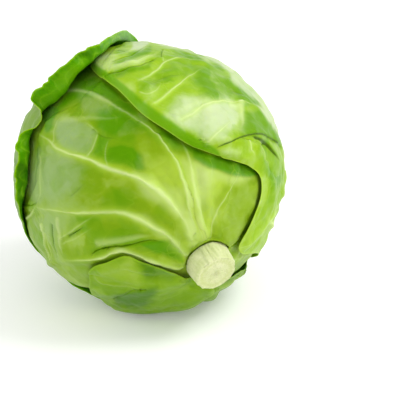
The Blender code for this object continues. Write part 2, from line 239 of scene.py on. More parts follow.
@dataclass
class Leaf:
    """One leaf, as in the frame: control points are (bearing at its middle, value).

    The lists below the rings are what the photograph shows on it, in its pixels: veins and folds are
    (route, half width in mm, height in mm, shade), a shade below 0 being dark; along folds and ledges the
    shade is painted shade in creases and painted light on ridges. Colour patches with painted shade and
    light, pale patches with painted highlights and wax patches with painted sheen are (corners, softness,
    strength) or, for an oval, (x, y, half width, half height, turn in degrees, strength). The ribs after the
    traced ones, which the photograph doesn't show, get veins of their own.
    """

    name: str
    azimuth: float
    middle: float
    outline: list
    brim_length: list
    brim_bend: list
    lift: list
    ribs: list
    rib_height: float
    blade_rings: int
    brim_rings: int
    fold_share: float = 1.0
    wave_count: int = 14
    wave_bend: float = 0.0
    ruffle_bend: float = 0.0
    traced_ribs: int = 0
    has_midrib: bool = True
    veins: list = field(default_factory=list)
    folds: list = field(default_factory=list)
    ledges: list = field(default_factory=list)
    brim_veins: list = field(default_factory=list)
    brim_ends: float = 999.0
    tones: list = field(default_factory=list)
    pales: list = field(default_factory=list)
    blooms: list = field(default_factory=list)
    wrinkle: float = 0.32


def paired_ribs(starts, lean, spread):
    """Side ribs on both sides of a midrib, leaving it at the given distances from the stem."""
    steps = (0, 0.25, 0.5, 0.75, 1)
    return [[(start + lean * step**SIDE_RIB_CURVE, side * step) for step in steps]
            for start in starts for side in (spread, -spread)]


# What the photograph shows on each leaf, in its pixels
FRONT_VEINS = [
    ([(203, 246), (201, 232), (198, 213), (196, 200), (193, 183), (191, 170), (188, 157), (183, 146),
      (176, 134)], 4.2, 1.1, 0.6),
    ([(196, 240), (191, 224), (188, 212), (186, 195), (182, 180), (178, 168), (172, 157), (165, 147),
      (157, 137), (146, 127), (130, 116), (112, 106)], 2.5, 0.9, 0.7),
    ([(195, 248), (190, 238), (187, 227), (182, 216), (175, 208), (165, 197), (153, 187), (140, 179),
      (120, 172), (105, 167), (93, 161), (77, 156), (62, 150), (50, 140), (42, 134), (36, 128)], 3.6, 1.9,
      1.0),
    ([(198, 264), (191, 257), (183, 251), (175, 242), (165, 233), (153, 226), (138, 218), (125, 213),
      (110, 211), (93, 212), (77, 212), (63, 210), (45, 207), (32, 202)], 3.2, 1.9, 0.75),
    ([(192, 274), (182, 269), (173, 267), (162, 263), (148, 258), (135, 253), (125, 249), (115, 250),
      (102, 255), (85, 257), (68, 257), (58, 250)], 2.8, 1.8, 0.85),
    ([(208, 244), (212, 224), (217, 208), (224, 194), (231, 184), (236, 172), (239, 160)], 1.3, 0.5, 0.5),
    ([(60, 238), (70, 232), (80, 225), (97, 215)], 0.7, 0.3, 0.3),
    ([(63, 243), (74, 239), (84, 233), (95, 226)], 0.7, 0.3, 0.2),
    ([(109, 166), (106, 158), (107, 148), (110, 139)], 0.6, 0.15, 0.25),
    ([(88, 158), (92, 150), (95, 142), (97, 133), (92, 127), (84, 121)], 0.7, 0.25, 0.35),
    ([(56, 146), (55, 136), (57, 127), (60, 120), (68, 117)], 0.6, 0.15, 0.25),
    ([(41, 153), (40, 175), (42, 190), (41, 202), (43, 212)], 0.8, 0.5, 0.3),
    ([(28, 175), (29, 187), (26, 197)], 0.6, 0.3, 0.3),
    ([(45, 230), (48, 244), (53, 256), (58, 264)], 0.8, 0.4, 0.3),
]
# Folds: a shade below 0 is painted shade along a crease, above 0 painted light along a ridge
FRONT_FOLDS = [
    ([(92, 252), (100, 249), (108, 247), (120, 246), (133, 244), (143, 241), (153, 240), (168, 244)], 0.9,
      -1.3, -0.95),
    ([(96, 242), (112, 240), (128, 238), (142, 235), (156, 235)], 2.8, 1.3, 0.35),
    ([(60, 92), (72, 90), (86, 92), (97, 97), (107, 102), (120, 110), (135, 118), (150, 126)], 1.8, 1.3,
      0.45),
    ([(60, 120), (75, 120), (90, 119), (110, 119), (125, 117)], 2.2, 0.6, 0.2),
    ([(92, 128), (98, 134), (107, 138), (120, 140)], 1.2, -0.5, -0.35),
    ([(70, 197), (76, 192), (83, 185), (89, 181)], 1.0, -0.5, -0.25),
    ([(205, 243), (194, 215), (189, 195), (185, 180), (181, 168)], 1.2, -0.6, -0.45),
    ([(44, 222), (44, 234), (47, 247), (54, 260), (62, 270)], 1.5, 1.5, 0.5),
    ([(53, 222), (54, 238), (57, 252), (63, 264)], 1.2, -1.3, -0.7),
    ([(59, 216), (60, 230), (62, 246), (66, 258)], 1.6, 1.2, 0.4),
    ([(68, 236), (76, 232), (85, 226)], 1.4, -1.1, -0.8),
    ([(25, 222), (33, 213), (42, 202)], 1.0, 1.0, 0.5),
    ([(26, 205), (35, 204), (42, 200)], 0.8, -0.8, -0.9),
    ([(33, 140), (34, 155), (32, 172)], 1.4, 0.6, 0.2),
    ([(38, 146), (37, 165), (35, 190)], 1.1, -0.8, -0.5),
]
# Darker and lighter patches: partly the leaf's own greens, partly painted shade (under the crown leaf's edge,
# in gaps beside other leaves, below ribs) and painted light
FRONT_TONES_AND_SHADING = [
    ([(108, 147), (121, 145), (134, 149), (142, 157), (144, 167), (137, 171), (124, 165), (106, 161)], 3,
      -1.3),
    ([(97, 136), (107, 140), (105, 158), (92, 156)], 4, -0.9),
    ([(100, 112), (118, 108), (133, 116), (144, 128), (130, 137), (108, 136), (98, 128)], 9, -1.2),
    ([(99, 206), (103, 196), (112, 189), (124, 186), (133, 188), (138, 200), (128, 206), (112, 209)], 4,
      -0.5),
    ([(43, 112), (51, 106), (57, 112), (53, 125), (47, 132)], 3, -2.0),
    ([(92, 229), (110, 222), (140, 221), (158, 231), (150, 238), (120, 242), (92, 240)], 8, -0.2),
    ([(92, 71), (119, 92), (128, 103), (140, 115), (155, 126), (168, 134), (182, 143), (205, 155),
      (220, 158), (245, 162), (262, 165), (262, 174), (240, 174), (214, 168), (198, 161), (182, 154),
      (166, 145), (150, 134), (134, 122), (118, 108), (104, 97), (90, 84)], 5, -1.1),
    ([(196, 152), (208, 156), (222, 160), (238, 164), (264, 166), (264, 175), (240, 175), (222, 171),
      (206, 165), (194, 158)], 3, -1.6),
    ([(88, 68), (92, 84), (104, 97), (84, 94), (66, 106), (47, 120), (55, 104), (66, 91), (77, 79)], 6,
      -1.3),
    ([(70, 215), (102, 215), (98, 221), (80, 232), (66, 238)], 4, -0.5),
    ([(140, 245), (150, 241), (166, 241), (182, 251), (184, 262), (165, 255), (150, 249)], 3, -1.2),
    ([(150, 165), (185, 150), (212, 162), (228, 178), (222, 214), (208, 238), (199, 238), (180, 215),
      (160, 200), (146, 184)], 12, 1.0),
    ([(210, 172), (235, 174), (252, 176), (240, 186), (214, 184)], 6, 0.6),
    ([(136, 235), (152, 231), (168, 236), (166, 241), (150, 240)], 4, 0.5),
    ([(120, 212), (150, 214), (176, 232), (168, 240), (140, 226)], 7, 0.5),
]
# Pale patches on and between the ribs near the stem: pale rib colour and painted highlights on the rib crests
FRONT_PALES_AND_HIGHLIGHTS = [
    ([(134, 173), (150, 177), (168, 192), (184, 212), (178, 216), (160, 202), (142, 188)], 6, 0.6),
    ([(184, 162), (200, 164), (211, 170), (212, 180), (207, 196), (200, 204), (192, 192), (187, 178)], 8,
      0.5),
    ([(130, 214), (145, 216), (160, 226), (172, 238), (166, 240), (150, 228), (134, 220)], 4, 0.35),
    ([(214, 172), (235, 174), (250, 177), (238, 184), (216, 181)], 5, 0.3),
    ([(166, 184), (182, 190), (190, 215), (182, 214), (172, 200)], 6, 0.3),
]
# Whitish wax patches, partly painted sheen: reflections of the light off the wax on the left of the leaf
FRONT_BLOOMS_AND_SHEENS = [
    ([(58, 121), (70, 119), (84, 121), (92, 127), (97, 133), (94, 145), (89, 156), (80, 153), (68, 148),
      (57, 141), (53, 131)], 4, 0.8),
    ([(80, 92), (92, 93), (104, 99), (114, 108), (108, 116), (88, 117), (78, 108)], 7, 0.7),
    ([(42, 150), (60, 156), (76, 161), (88, 167), (84, 178), (78, 190), (66, 197), (50, 200), (40, 196),
      (38, 170)], 8, 0.6),
    ([(30, 160), (40, 150), (42, 175), (41, 200), (30, 203), (27, 190)], 4, 0.5),
    ([(44, 212), (60, 213), (66, 222), (62, 240), (60, 262), (50, 262), (42, 240), (34, 222)], 7, 0.35),
    ([(66, 259), (92, 258), (92, 284), (80, 282), (68, 270)], 7, 0.3),
    (46, 180, 45, 62, 8, 0.35),
]
CROWN_VEINS = [
    ([(137, 84), (147, 77), (157, 70), (163, 64), (170, 61), (177, 60), (188, 62), (205, 65)], 1.0, 0.6,
      0.7),
    ([(150, 106), (161, 99), (169, 92), (181, 82), (192, 75), (205, 69)], 1.0, 0.6, 0.75),
    ([(176, 123), (184, 118), (192, 114), (200, 108), (209, 104), (218, 102), (235, 103), (249, 106),
      (258, 109)], 1.2, 0.7, 0.85),
    ([(205, 145), (214, 136), (225, 126), (231, 120)], 1.0, 0.5, 0.7),
    ([(139, 93), (146, 95), (154, 92), (158, 88), (162, 82)], 0.5, 0.15, 0.35),
    ([(249, 139), (250, 148), (253, 156)], 0.7, 0.3, 0.6),
    ([(262, 142), (265, 155), (266, 168)], 0.8, 0.4, 0.5),
    ([(163, 63), (162, 57), (165, 50)], 0.6, 0.2, 0.3),
]
# Folds: a shade below 0 is painted shade along a crease, above 0 painted light along a ridge
CROWN_FOLDS = [
    ([(100, 75), (112, 73), (128, 70), (140, 67), (155, 61), (162, 57)], 0.8, -1.1, -0.8),
    ([(110, 69), (123, 66), (138, 63), (152, 58), (162, 52)], 1.7, 1.3, 0.45),
    ([(111, 64), (127, 58), (140, 51), (152, 46)], 1.0, -1.0, -0.7),
    ([(117, 51), (124, 53), (131, 53)], 1.1, -1.0, -0.9),
    ([(105, 58), (118, 57), (131, 52), (140, 46)], 1.7, 0.8, 0.3),
    ([(240, 102), (241, 118), (240, 132)], 2.2, 0.9, 0.5),
    ([(150, 86), (158, 80), (170, 76), (184, 74)], 3.0, -0.8, -0.2),
    ([(172, 118), (190, 108), (205, 98)], 4.0, 0.9, 0.1),
    ([(228, 90), (240, 96), (252, 104)], 3.0, -0.9, -0.3),
    ([(161, 60), (161, 55), (163, 50)], 0.7, -0.6, -0.8),
]
# Ledges: a shade below 0 is a painted shadow line along the step
CROWN_LEDGES = [
    ([(215, 148), (222, 144), (230, 140), (242, 136), (253, 134), (262, 135), (270, 139), (278, 146),
      (285, 155)], 0.5, 1.7, -1.3),
    ([(252, 137), (257, 138), (261, 140), (265, 143), (270, 149), (274, 156), (278, 164)], 0.9, 1.9,
      -1.9),
    ([(261, 142), (262, 152), (261, 166)], 0.5, -0.9, -0.6),
]
# Darker and lighter patches: partly the leaf's own greens, partly painted shade in creases and beneath its
# folds, and painted light
CROWN_TONES_AND_SHADING = [
    ([(93, 69), (95, 60), (103, 53), (116, 55), (118, 60), (112, 66), (112, 71), (104, 75), (97, 72)], 5,
      0.4),
    ([(112, 77), (137, 83), (138, 96), (128, 93), (118, 87)], 6, 0.7),
    ([(163, 66), (172, 62), (200, 66), (206, 70), (190, 75), (172, 80), (150, 90), (140, 92), (137, 84),
      (150, 77)], 6, -0.5),
    ([(207, 66), (222, 64), (229, 76), (243, 88), (252, 93), (256, 104), (238, 101), (222, 102),
      (212, 98), (203, 90), (194, 84), (196, 78)], 7, -1.0),
    ([(241, 84), (252, 89), (260, 104), (246, 104), (238, 96)], 4, -1.0),
    ([(245, 112), (262, 108), (272, 122), (282, 142), (262, 134), (244, 133)], 6, -1.3),
    ([(262, 138), (282, 140), (284, 175), (272, 190), (262, 172)], 6, -0.8),
    ([(182, 55), (200, 56), (203, 61), (186, 60)], 4, -0.8),
    ([(150, 48), (176, 51), (184, 56), (180, 60), (158, 60)], 6, -0.5),
    ([(112, 62), (120, 58), (131, 54), (142, 49), (150, 47), (148, 53), (138, 59), (126, 64), (114, 67)],
      3, -1.2),
    ([(100, 75), (114, 71), (130, 68), (142, 65), (154, 60), (150, 66), (134, 73), (112, 77)], 3, -1.0),
    ([(117, 49), (130, 51), (129, 55), (118, 54)], 2, -1.0),
    ([(218, 150), (236, 141), (255, 139), (262, 147), (261, 164), (244, 164), (228, 156)], 6, 0.3),
    ([(262, 150), (265, 146), (272, 155), (276, 163), (270, 168), (262, 169)], 2, 0.2),
    ([(256, 134), (268, 137), (280, 148), (276, 152), (268, 144), (260, 138)], 2, 0.3),
    ([(204, 120), (222, 118), (240, 122), (238, 132), (220, 142), (208, 142)], 6, 0.2),
]
# Pale patches: pale colour and painted highlights along ridges
CROWN_PALES_AND_HIGHLIGHTS = [
    ([(110, 66), (124, 62), (138, 58), (152, 52), (150, 58), (134, 66), (114, 71)], 2, 0.3),
    ([(228, 100), (243, 101), (243, 108), (229, 108)], 3, 0.5),
    ([(237, 109), (245, 109), (245, 133), (237, 133)], 3, 0.3),
    ([(184, 97), (206, 97), (220, 104), (210, 116), (190, 116)], 8, 0.35),
]
# Whitish wax patches, partly painted sheen in the middle and a painted reflection along the top right rim
CROWN_BLOOMS_AND_SHEENS = [
    ([(164, 116), (172, 104), (184, 95), (206, 96), (226, 100), (238, 106), (240, 120), (236, 132),
      (222, 138), (208, 142), (196, 137), (184, 130), (172, 122)], 9, 0.95),
    ([(132, 40), (150, 40), (146, 46), (139, 51), (132, 51)], 3, 1.2),
    ([(158, 36), (180, 38), (204, 46), (224, 57), (236, 68), (230, 72), (214, 63), (196, 55), (176, 49),
      (160, 45)], 3, 1.2),
    ([(230, 68), (250, 80), (264, 96), (276, 116), (286, 140), (279, 138), (268, 120), (257, 102),
      (244, 90), (230, 80)], 3, 1.2),
    ([(95, 62), (104, 54), (116, 54), (118, 60), (108, 66), (98, 68)], 5, 0.3),
    ([(140, 86), (152, 84), (160, 90), (158, 100), (146, 102)], 8, 0.4),
    ([(222, 150), (240, 142), (254, 142), (254, 154), (240, 160), (228, 157)], 5, 0.5),
]
REMNANT_VEINS = [
    ([(94, 272), (98, 279), (105, 283), (120, 285), (138, 286), (156, 286)], 1.4, 0.7, 0.35),
]
# Folds: a shade below 0 is painted shade along a crease, above 0 painted light along a ridge
REMNANT_FOLDS = [
    ([(113, 298), (122, 294), (129, 291), (138, 288), (152, 286)], 1.0, -1.1, -0.8),
    ([(100, 271), (115, 268), (130, 268), (148, 272)], 3.5, 0.9, 0.15),
    ([(112, 303), (125, 304), (140, 302)], 2.5, 0.7, 0.1),
]
# Darker and lighter patches: partly the leaf's own greens, partly painted shade under the rib above it and
# low down near the floor
REMNANT_TONES_AND_SHADING = [
    ([(140, 256), (158, 262), (178, 272), (170, 280), (148, 278), (138, 268)], 7, -1.2),
    ([(118, 297), (134, 290), (158, 288), (152, 300), (136, 307), (113, 306)], 5, -1.1),
    ([(97, 262), (130, 256), (142, 268), (138, 282), (112, 281), (98, 277)], 8, 0.8),
]
REMNANT_BLOOMS = [
    ([(96, 284), (112, 286), (126, 287), (116, 296), (104, 295)], 6, 0.5),
]
UNDER_BLOOMS = [
    ([(33, 100), (40, 108), (46, 118), (45, 128), (42, 134), (25, 134), (27, 118)], 4, 0.15),
    (60, 285, 60, 12, -20, 0.4),
]
UNDER_TONES = [
    ([(60, 70), (74, 60), (84, 62), (82, 72), (70, 84), (62, 84)], 5, 0.5),
    ([(80, 52), (94, 47), (108, 46), (104, 54), (90, 60)], 4, -0.6),
    ([(118, 41), (127, 34), (132, 36), (126, 42)], 3, -0.8),
    ([(27, 134), (44, 128), (44, 140), (34, 150), (32, 165), (26, 165)], 4, -0.8),
    ([(14, 160), (30, 165), (30, 205), (20, 210)], 4, -1.2),
]


def looped_veins(first, last, step):
    """Veins of a margin: each leaves the blade and loops over to the next, as (bearing, share of brim)."""
    chance = np.random.default_rng(int(100 + first))
    routes = []
    start = first
    while start < last:
        wide = step * chance.uniform(0.6, 1.5)
        high = chance.uniform(0.45, 0.8)
        lean = chance.uniform(-0.25, 0.25) * wide
        routes.append([(start, 0.0), (start + lean, 0.5 * high), (start + 0.25 * wide + lean, high),
                       (start + 0.7 * wide, 0.9 * high), (start + wide, 0.5 * high)])
        start += wide
    return [(route, 0.55, 0.15, chance.uniform(0.3, 0.8)) for route in routes]


# From the innermost leaf to the outermost, as in the frame
LEAVES = [
    Leaf(
        name="leaf_rear",
        azimuth=-130,
        middle=70,
        outline=[(0, 60), (39, 63), (73, 75), (103, 65), (140, 51), (166, 57), (180, 59),
                 (-166, 57), (-140, 51), (-103, 65), (-73, 75), (-39, 63)],
        brim_length=[(0, 0.006)],
        brim_bend=[(0, 0)],
        lift=[(0, 0)],
        ribs=paired_ribs((16, 38, 64), 38, 56),
        rib_height=0.0015,
        blade_rings=44,
        brim_rings=4,
    ),
    Leaf(
        name="leaf_front",
        azimuth=0,
        middle=75,
        outline=[(0, 64), (25, 68), (54, 84), (78, 96), (100, 101), (115, 98), (126, 87),
                 (139, 75), (150, 73), (162, 72), (168, 70.5), (173, 69), (180, 64), (-170, 70),
                 (-158, 69), (-139, 62), (-118, 70), (-89, 79), (-60, 82), (-39, 76), (-25, 68)],
        brim_length=[(0, 0.006)],
        brim_bend=[(0, 0)],
        lift=[(0, 0)],
        ribs=[
            [(14, 4), (36, 8), (48, 12), (67, 27), (87, 41), (105, 46), (122, 48)],
            [(14, 9), (29, 18), (45, 32), (62, 54), (75, 67), (86, 80)],
            [(8, 14), (17, 29), (29, 39), (35, 57), (45, 74), (52, 92)],
            [(16, -4), (40, -12), (62, -26), (84, -38), (108, -42)],
            [(12, -8), (33, -21), (42, -30), (58, -50), (66, -70)],
        ],
        rib_height=0.0038,
        blade_rings=108,
        brim_rings=5,
        traced_ribs=3,
        veins=FRONT_VEINS,
        folds=FRONT_FOLDS,
        tones=FRONT_TONES_AND_SHADING,
        pales=FRONT_PALES_AND_HIGHLIGHTS,
        blooms=FRONT_BLOOMS_AND_SHEENS,
    ),
    Leaf(
        name="leaf_crown",
        azimuth=-95,
        middle=95,
        outline=[(0, 58), (19, 60), (36, 72), (42, 80), (50, 88), (59, 95.5), (70, 98), (82, 98),
                 (91, 97), (105, 94), (116, 89), (124, 84), (131, 78), (138, 70), (144, 62.5),
                 (149, 57), (160, 58), (171, 70), (180, 80), (-171, 71), (-158, 62), (-129, 60),
                 (-93, 57), (-59, 62), (-26, 64)],
        brim_length=[(0, 0.006), (90, 0.006), (96, 0.0075), (105, 0.0095), (130, 0.0095), (144, 0.006)],
        brim_bend=[(20, 0), (50, -15), (66, -45), (96, -55), (135, -55), (150, 5), (-150, 10), (-40, 0)],
        lift=[(20, 0), (55, 0.0025), (75, 0.0040), (92, 0.0050), (104, 0.0060), (132, 0.0060), (152, 0),
              (-60, 0)],
        ribs=[
            [(34, 0), (44, 22), (50, 42), (47, 65)],
            [(50, 0), (66, 22), (76, 42), (72, 62), (63, 80)],
            [(76, 0), (90, 28), (98, 54), (106, 72), (102, 90)],
            [(34, 0), (48, -22), (60, -44)],
            [(50, 0), (68, -26), (82, -50)],
            [(76, 0), (94, -26), (108, -48)],
        ],
        rib_height=0.0028,
        blade_rings=104,
        brim_rings=10,
        fold_share=0.4,
        traced_ribs=3,
        veins=CROWN_VEINS,
        folds=CROWN_FOLDS,
        ledges=CROWN_LEDGES,
        brim_ends=210,
        tones=CROWN_TONES_AND_SHADING,
        pales=CROWN_PALES_AND_HIGHLIGHTS,
        blooms=CROWN_BLOOMS_AND_SHEENS,
    ),
    Leaf(
        name="leaf_under",
        azimuth=180,
        middle=125,
        outline=[(3, 120.5), (9, 109.5), (15, 97.5), (20, 84), (26, 77), (40, 71), (54, 60), (82, 46),
                 (129, 50), (153, 70), (166, 92), (180, 106), (-166, 92), (-136, 76.5), (-118, 74),
                 (-108, 70), (-99, 68), (-93, 72), (-88, 83), (-83, 96), (-77, 107), (-70, 111),
                 (-64, 113), (-57, 113), (-52, 113), (-46, 114), (-41, 111), (-37, 117), (-32, 119),
                 (-26, 121), (-20, 124), (-13, 125), (-7, 124), (-3, 124)],
        brim_length=[(-13, 0.0142), (-11, 0.0118), (-9, 0.0145), (-6, 0.0108), (-1, 0.0078), (4, 0.0070),
                     (11, 0.0070), (14, 0.0082), (16, 0.0095), (18, 0.0100), (20, 0.005), (26, 0.004),
                     (40, 0.006), (150, 0.006), (-150, 0.0045), (-92, 0.0045), (-82, 0.005), (-78, 0.0062),
                     (-75, 0.0105), (-72, 0.0125), (-67, 0.0120), (-64, 0.0100), (-61, 0.0085), (-58, 0.0155),
                     (-55, 0.0120), (-53, 0.009), (-47, 0.010), (-42, 0.010), (-37, 0.017), (-33, 0.020),
                     (-29, 0.021), (-25, 0.018), (-20, 0.016)],
        brim_bend=[(0, 105), (13, 92), (19, 80), (23, 10), (90, 18), (150, 0), (-150, 4),
                   (-120, 12), (-92, 8), (-84, 25), (-79, 40), (-75, 92), (-52, 96), (-48, 8), (-42, 8),
                   (-37, 105)],
        lift=[(0, 0)],
        ribs=[
            [(22, 0), (42, 24), (58, 36)],
            [(60, 0), (88, 26), (106, 38)],
            [(98, 0), (128, 24), (154, 36)],
            [(138, 0), (166, 22), (192, 34)],
            [(22, 0), (44, -30), (60, -52)],
            [(60, 0), (90, -38), (106, -66)],
            [(98, 0), (134, -36), (152, -66)],
            [(138, 0), (172, -32), (204, -52)],
        ],
        rib_height=0.0028,
        blade_rings=90,
        brim_rings=18,
        fold_share=0.45,
        wave_count=26,
        wave_bend=8,
        ruffle_bend=7,
        brim_veins=looped_veins(-36, 18, 6) + looped_veins(-76, -54, 5.5),
        tones=UNDER_TONES,
        blooms=UNDER_BLOOMS,
    ),
    Leaf(
        name="leaf_remnant",
        azimuth=100,
        middle=32,
        outline=[(-174, 16), (-153, 15), (-129, 15), (-109, 17), (-96, 21), (-85, 20), (-71, 19),
                 (-59, 20), (-46, 20), (-32, 19), (-20, 18), (3, 20), (25, 23), (44, 28), (65, 27),
                 (79, 27), (91, 27), (105, 28), (118, 29), (148, 30), (160, 26), (172, 18)],
        brim_length=[(0, 0.004)],
        brim_bend=[(0, 8)],
        lift=[(0, 0)],
        ribs=[[(16, 0), (28, 8), (40, 14)], [(16, 0), (28, -6), (38, -10)]],
        rib_height=0.0020,
        blade_rings=32,
        brim_rings=5,
        traced_ribs=2,
        has_midrib=False,
        veins=REMNANT_VEINS,
        folds=REMNANT_FOLDS,
        tones=REMNANT_TONES_AND_SHADING,
        blooms=REMNANT_BLOOMS,
    ),
]


# Shape of the head, as in the frame

def head_axes():
    """The stem direction and the two directions across it, the first on the front leaf's side."""
    heading, dip = math.radians(STEM_HEADING), math.radians(-STEM_DIP)
    stem = np.array([math.cos(dip) * math.cos(heading), math.cos(dip) * math.sin(heading), math.sin(dip)])
    top = np.array([0.0, 0.0, 1.0]) - stem[2] * stem
    top /= np.linalg.norm(top)
    side = np.cross(stem, top)
    turn = math.radians(FRONT_AZIMUTH)
    front = math.cos(turn) * top + math.sin(turn) * side
    return stem, front, np.cross(stem, front)


STEM, FRONT, SIDE = head_axes()


def direction(polar, azimuth):
    """Unit vector on the globe at a polar angle and an azimuth in degrees."""
    polar, azimuth = math.radians(polar), math.radians(azimuth)
    across = math.cos(azimuth) * FRONT + math.sin(azimuth) * SIDE
    return math.cos(polar) * STEM + math.sin(polar) * across


def camera_axes():
    """Directions to the right, up and towards the camera in the photograph's view."""
    tilt = math.radians(CAMERA_ELEVATION)
    right = np.array([1.0, 0.0, 0.0])
    up = np.array([0.0, math.sin(tilt), math.cos(tilt)])
    return right, up, np.array([0.0, -math.cos(tilt), math.sin(tilt)])


RIGHT, UP, TOWARD = camera_axes()
AIM = CENTRE + (
    RIGHT * (PHOTO_SIZE / 2 - HEAD_PIXEL[0]) + UP * (HEAD_PIXEL[1] - PHOTO_SIZE / 2)
) * METRES_PER_PIXEL
CAMERA_PLACE = AIM + TOWARD * CAMERA_DISTANCE


def leaf_axes(leaf):
    """Directions of a leaf's middle, of its tip from there and of its left side from there."""
    return (
        direction(leaf.middle, leaf.azimuth),
        direction(leaf.middle + 90, leaf.azimuth),
        direction(90, leaf.azimuth + 90),
    )


def wrap(leaf, reach, bearing):
    """Unit vectors at an arc (degrees) and a bearing (degrees) from the leaf's middle."""
    middle, tip, side = leaf_axes(leaf)
    arc, turn = np.radians(reach)[:, None], np.radians(bearing)[:, None]
    return np.cos(arc) * middle + np.sin(arc) * (np.cos(turn) * tip + np.sin(turn) * side)


def unwrap(leaf, rays):
    """The inverse of wrap: reach and bearing in degrees of unit vectors."""
    middle, tip, side = leaf_axes(leaf)
    reach = np.degrees(np.arccos(np.clip(rays @ middle, -1, 1)))
    return reach, np.degrees(np.arctan2(rays @ side, rays @ tip))


def blend(bearing, points, rounding=ROUNDING):
    """Value at each bearing, between control points and rounded over a few degrees."""
    points = sorted(points)
    at, value = [p[0] for p in points], [p[1] for p in points]
    turns = [np.interp(bearing + offset, at, value, period=360) for offset in rounding]
    return np.mean(turns, axis=0)


def ease(x):
    """Smooth step from 0 to 1."""
    x = np.clip(x, 0, 1)
    return x * x * (3 - 2 * x)


def globe(rays):
    """Radius of the heart along unit vectors: a lumpy ball, a little flat at the stem."""
    lumps = (
        np.sin(5.0 * rays[:, 0] + 1.0) * np.sin(4.0 * rays[:, 1] + 2.0)
        + np.sin(6.0 * rays[:, 2] - 1.5) * np.sin(5.0 * rays[:, 0] - 0.5)
    )
    at_stem = ease((rays @ STEM - FLATTENED_FROM) / (1 - FLATTENED_FROM))
    crowded = ease(0.5 + 0.5 * rays @ direction(*CROWDED_SIDE))
    return HEART_RADIUS + LUMP_HEIGHT * lumps - STEM_FLATTENING * at_stem - CROWDING * crowded


def brim_arc(leaf, bearing):
    """Length of the brim in degrees of arc."""
    return np.degrees(blend(bearing, leaf.brim_length, BRIM_ROUNDING) / HEAD_RADIUS)


def margin(leaf, bearing):
    """Arc in degrees from the leaf's middle to where its brim starts, stopped short of the stalk."""
    reach = blend(bearing, leaf.outline)
    middle = math.radians(leaf.middle)
    toward = -np.cos(np.radians(bearing)) * math.sin(middle)
    size = np.hypot(math.cos(middle), toward)
    meets = (toward > 0) & (size > math.cos(STALK_ARC))
    turn = np.arccos(math.cos(STALK_ARC) / np.where(meets, size, 1.0))
    stop = np.degrees(np.arctan2(toward, math.cos(middle)) - turn) - brim_arc(leaf, bearing)
    return np.where(meets, np.minimum(reach, stop), reach)


def to_route(spots, route):
    """Distance in degrees from spots in the leaf's plane to a route."""
    best = np.full(len(spots), np.inf)
    route = np.array(route, dtype=float)
    for start, end in zip(route[:-1], route[1:]):
        span = end - start
        share = np.clip((spots - start) @ span / (span @ span), 0, 1)
        best = np.minimum(best, np.linalg.norm(spots - start - share[:, None] * span, axis=1))
    return best


def midrib(leaf):
    """Route of a leaf's midrib, from beside the stalk to near the tip."""
    tip = float(margin(leaf, np.zeros(1))[0])
    return [(0, 0), (leaf.middle + MIDRIB_REACH * tip, 0)]


def plane(leaf, reach, bearing):
    """Distances in degrees along and across the midrib, the first from the stem."""
    turn = np.radians(bearing)
    return np.stack([leaf.middle + reach * np.cos(turn), reach * np.sin(turn)], axis=1)


def rib_thickness(leaf, reach, bearing, clear=0.0):
    """Extra thickness over the ribs, as in the frame but rounded, and within a clear distance of them."""
    spots = plane(leaf, reach, bearing)
    taper = 1 - ease(spots[:, 0] / (TAPER_LENGTH * leaf.middle))
    distance = to_route(spots, midrib(leaf))
    width = SIDE_RIB_WIDTH + (MIDRIB_WIDTH - SIDE_RIB_WIDTH) * taper
    strength = MIDRIB_TIP_SHARE + (1 - MIDRIB_TIP_SHARE) * taper
    total = (strength * ease(1 + (clear - distance) / width)) ** RIB_MERGING
    strength = SIDE_RIB_SHARE * (SIDE_RIB_TIP_SHARE + (1 - SIDE_RIB_TIP_SHARE) * taper)
    for route in leaf.ribs:
        total += (strength * ease(1 + (clear - to_route(spots, route)) / SIDE_RIB_WIDTH)) ** RIB_MERGING
    return leaf.rib_height * total ** (1 / RIB_MERGING)


def lift_of(leaf, reach, bearing):
    """Height by which the outer part of a blade stands off what is below it."""
    outer_part = (reach / margin(leaf, bearing) - LIFTED_FROM) / (LIFTED_BY - LIFTED_FROM)
    return blend(bearing, leaf.lift) * ease(outer_part)


def cover(leaf, reach, bearing):
    """1 where a leaf covers the globe, falling to 0 a little way outside its margin."""
    outside = np.radians(reach - margin(leaf, bearing) - brim_arc(leaf, bearing)) * HEAD_RADIUS
    return 1 - ease((outside - COVER_MARGIN) / COVER_FADE)


def layer(leaf, rays):
    """Height that a leaf adds to the stack along unit vectors."""
    reach, bearing = unwrap(leaf, rays)
    height = LEAF_GAP + BLADE + lift_of(leaf, reach, bearing)
    height = height + rib_thickness(leaf, reach, bearing, RIB_CLEARANCE)
    return cover(leaf, reach, bearing) * height


def above_floor(points, least):
    """Points, measured from the head's centre, kept at least a height above the floor."""
    height = points[:, 2] + CENTRE[2] - least
    eased = (height + FLOOR_EASING) ** 2 / (4 * FLOOR_EASING)
    kept = np.where(height > FLOOR_EASING, height, np.where(height < -FLOOR_EASING, 0.0, eased))
    raised = points.copy()
    raised[:, 2] = kept + least - CENTRE[2]
    return raised


def layers_outside(index, rays):
    """Height of all the leaves that lie outside the given place in the stack."""
    total = np.zeros(len(rays))
    for leaf in LEAVES[index:]:
        total += layer(leaf, rays)
    return total


def blade_points(index, reach, bearing):
    """Inner face of a leaf's blade at arcs and bearings from its middle, before the brim."""
    leaf = LEAVES[index]
    rays = wrap(leaf, reach, bearing)
    radius = globe(rays) + LEAF_GAP + lift_of(leaf, reach, bearing)
    for lower in LEAVES[:index]:
        radius += layer(lower, rays)
    thickness = BLADE + rib_thickness(leaf, reach, bearing)
    return above_floor(rays * radius[:, None], thickness + layers_outside(index + 1, rays)), rays


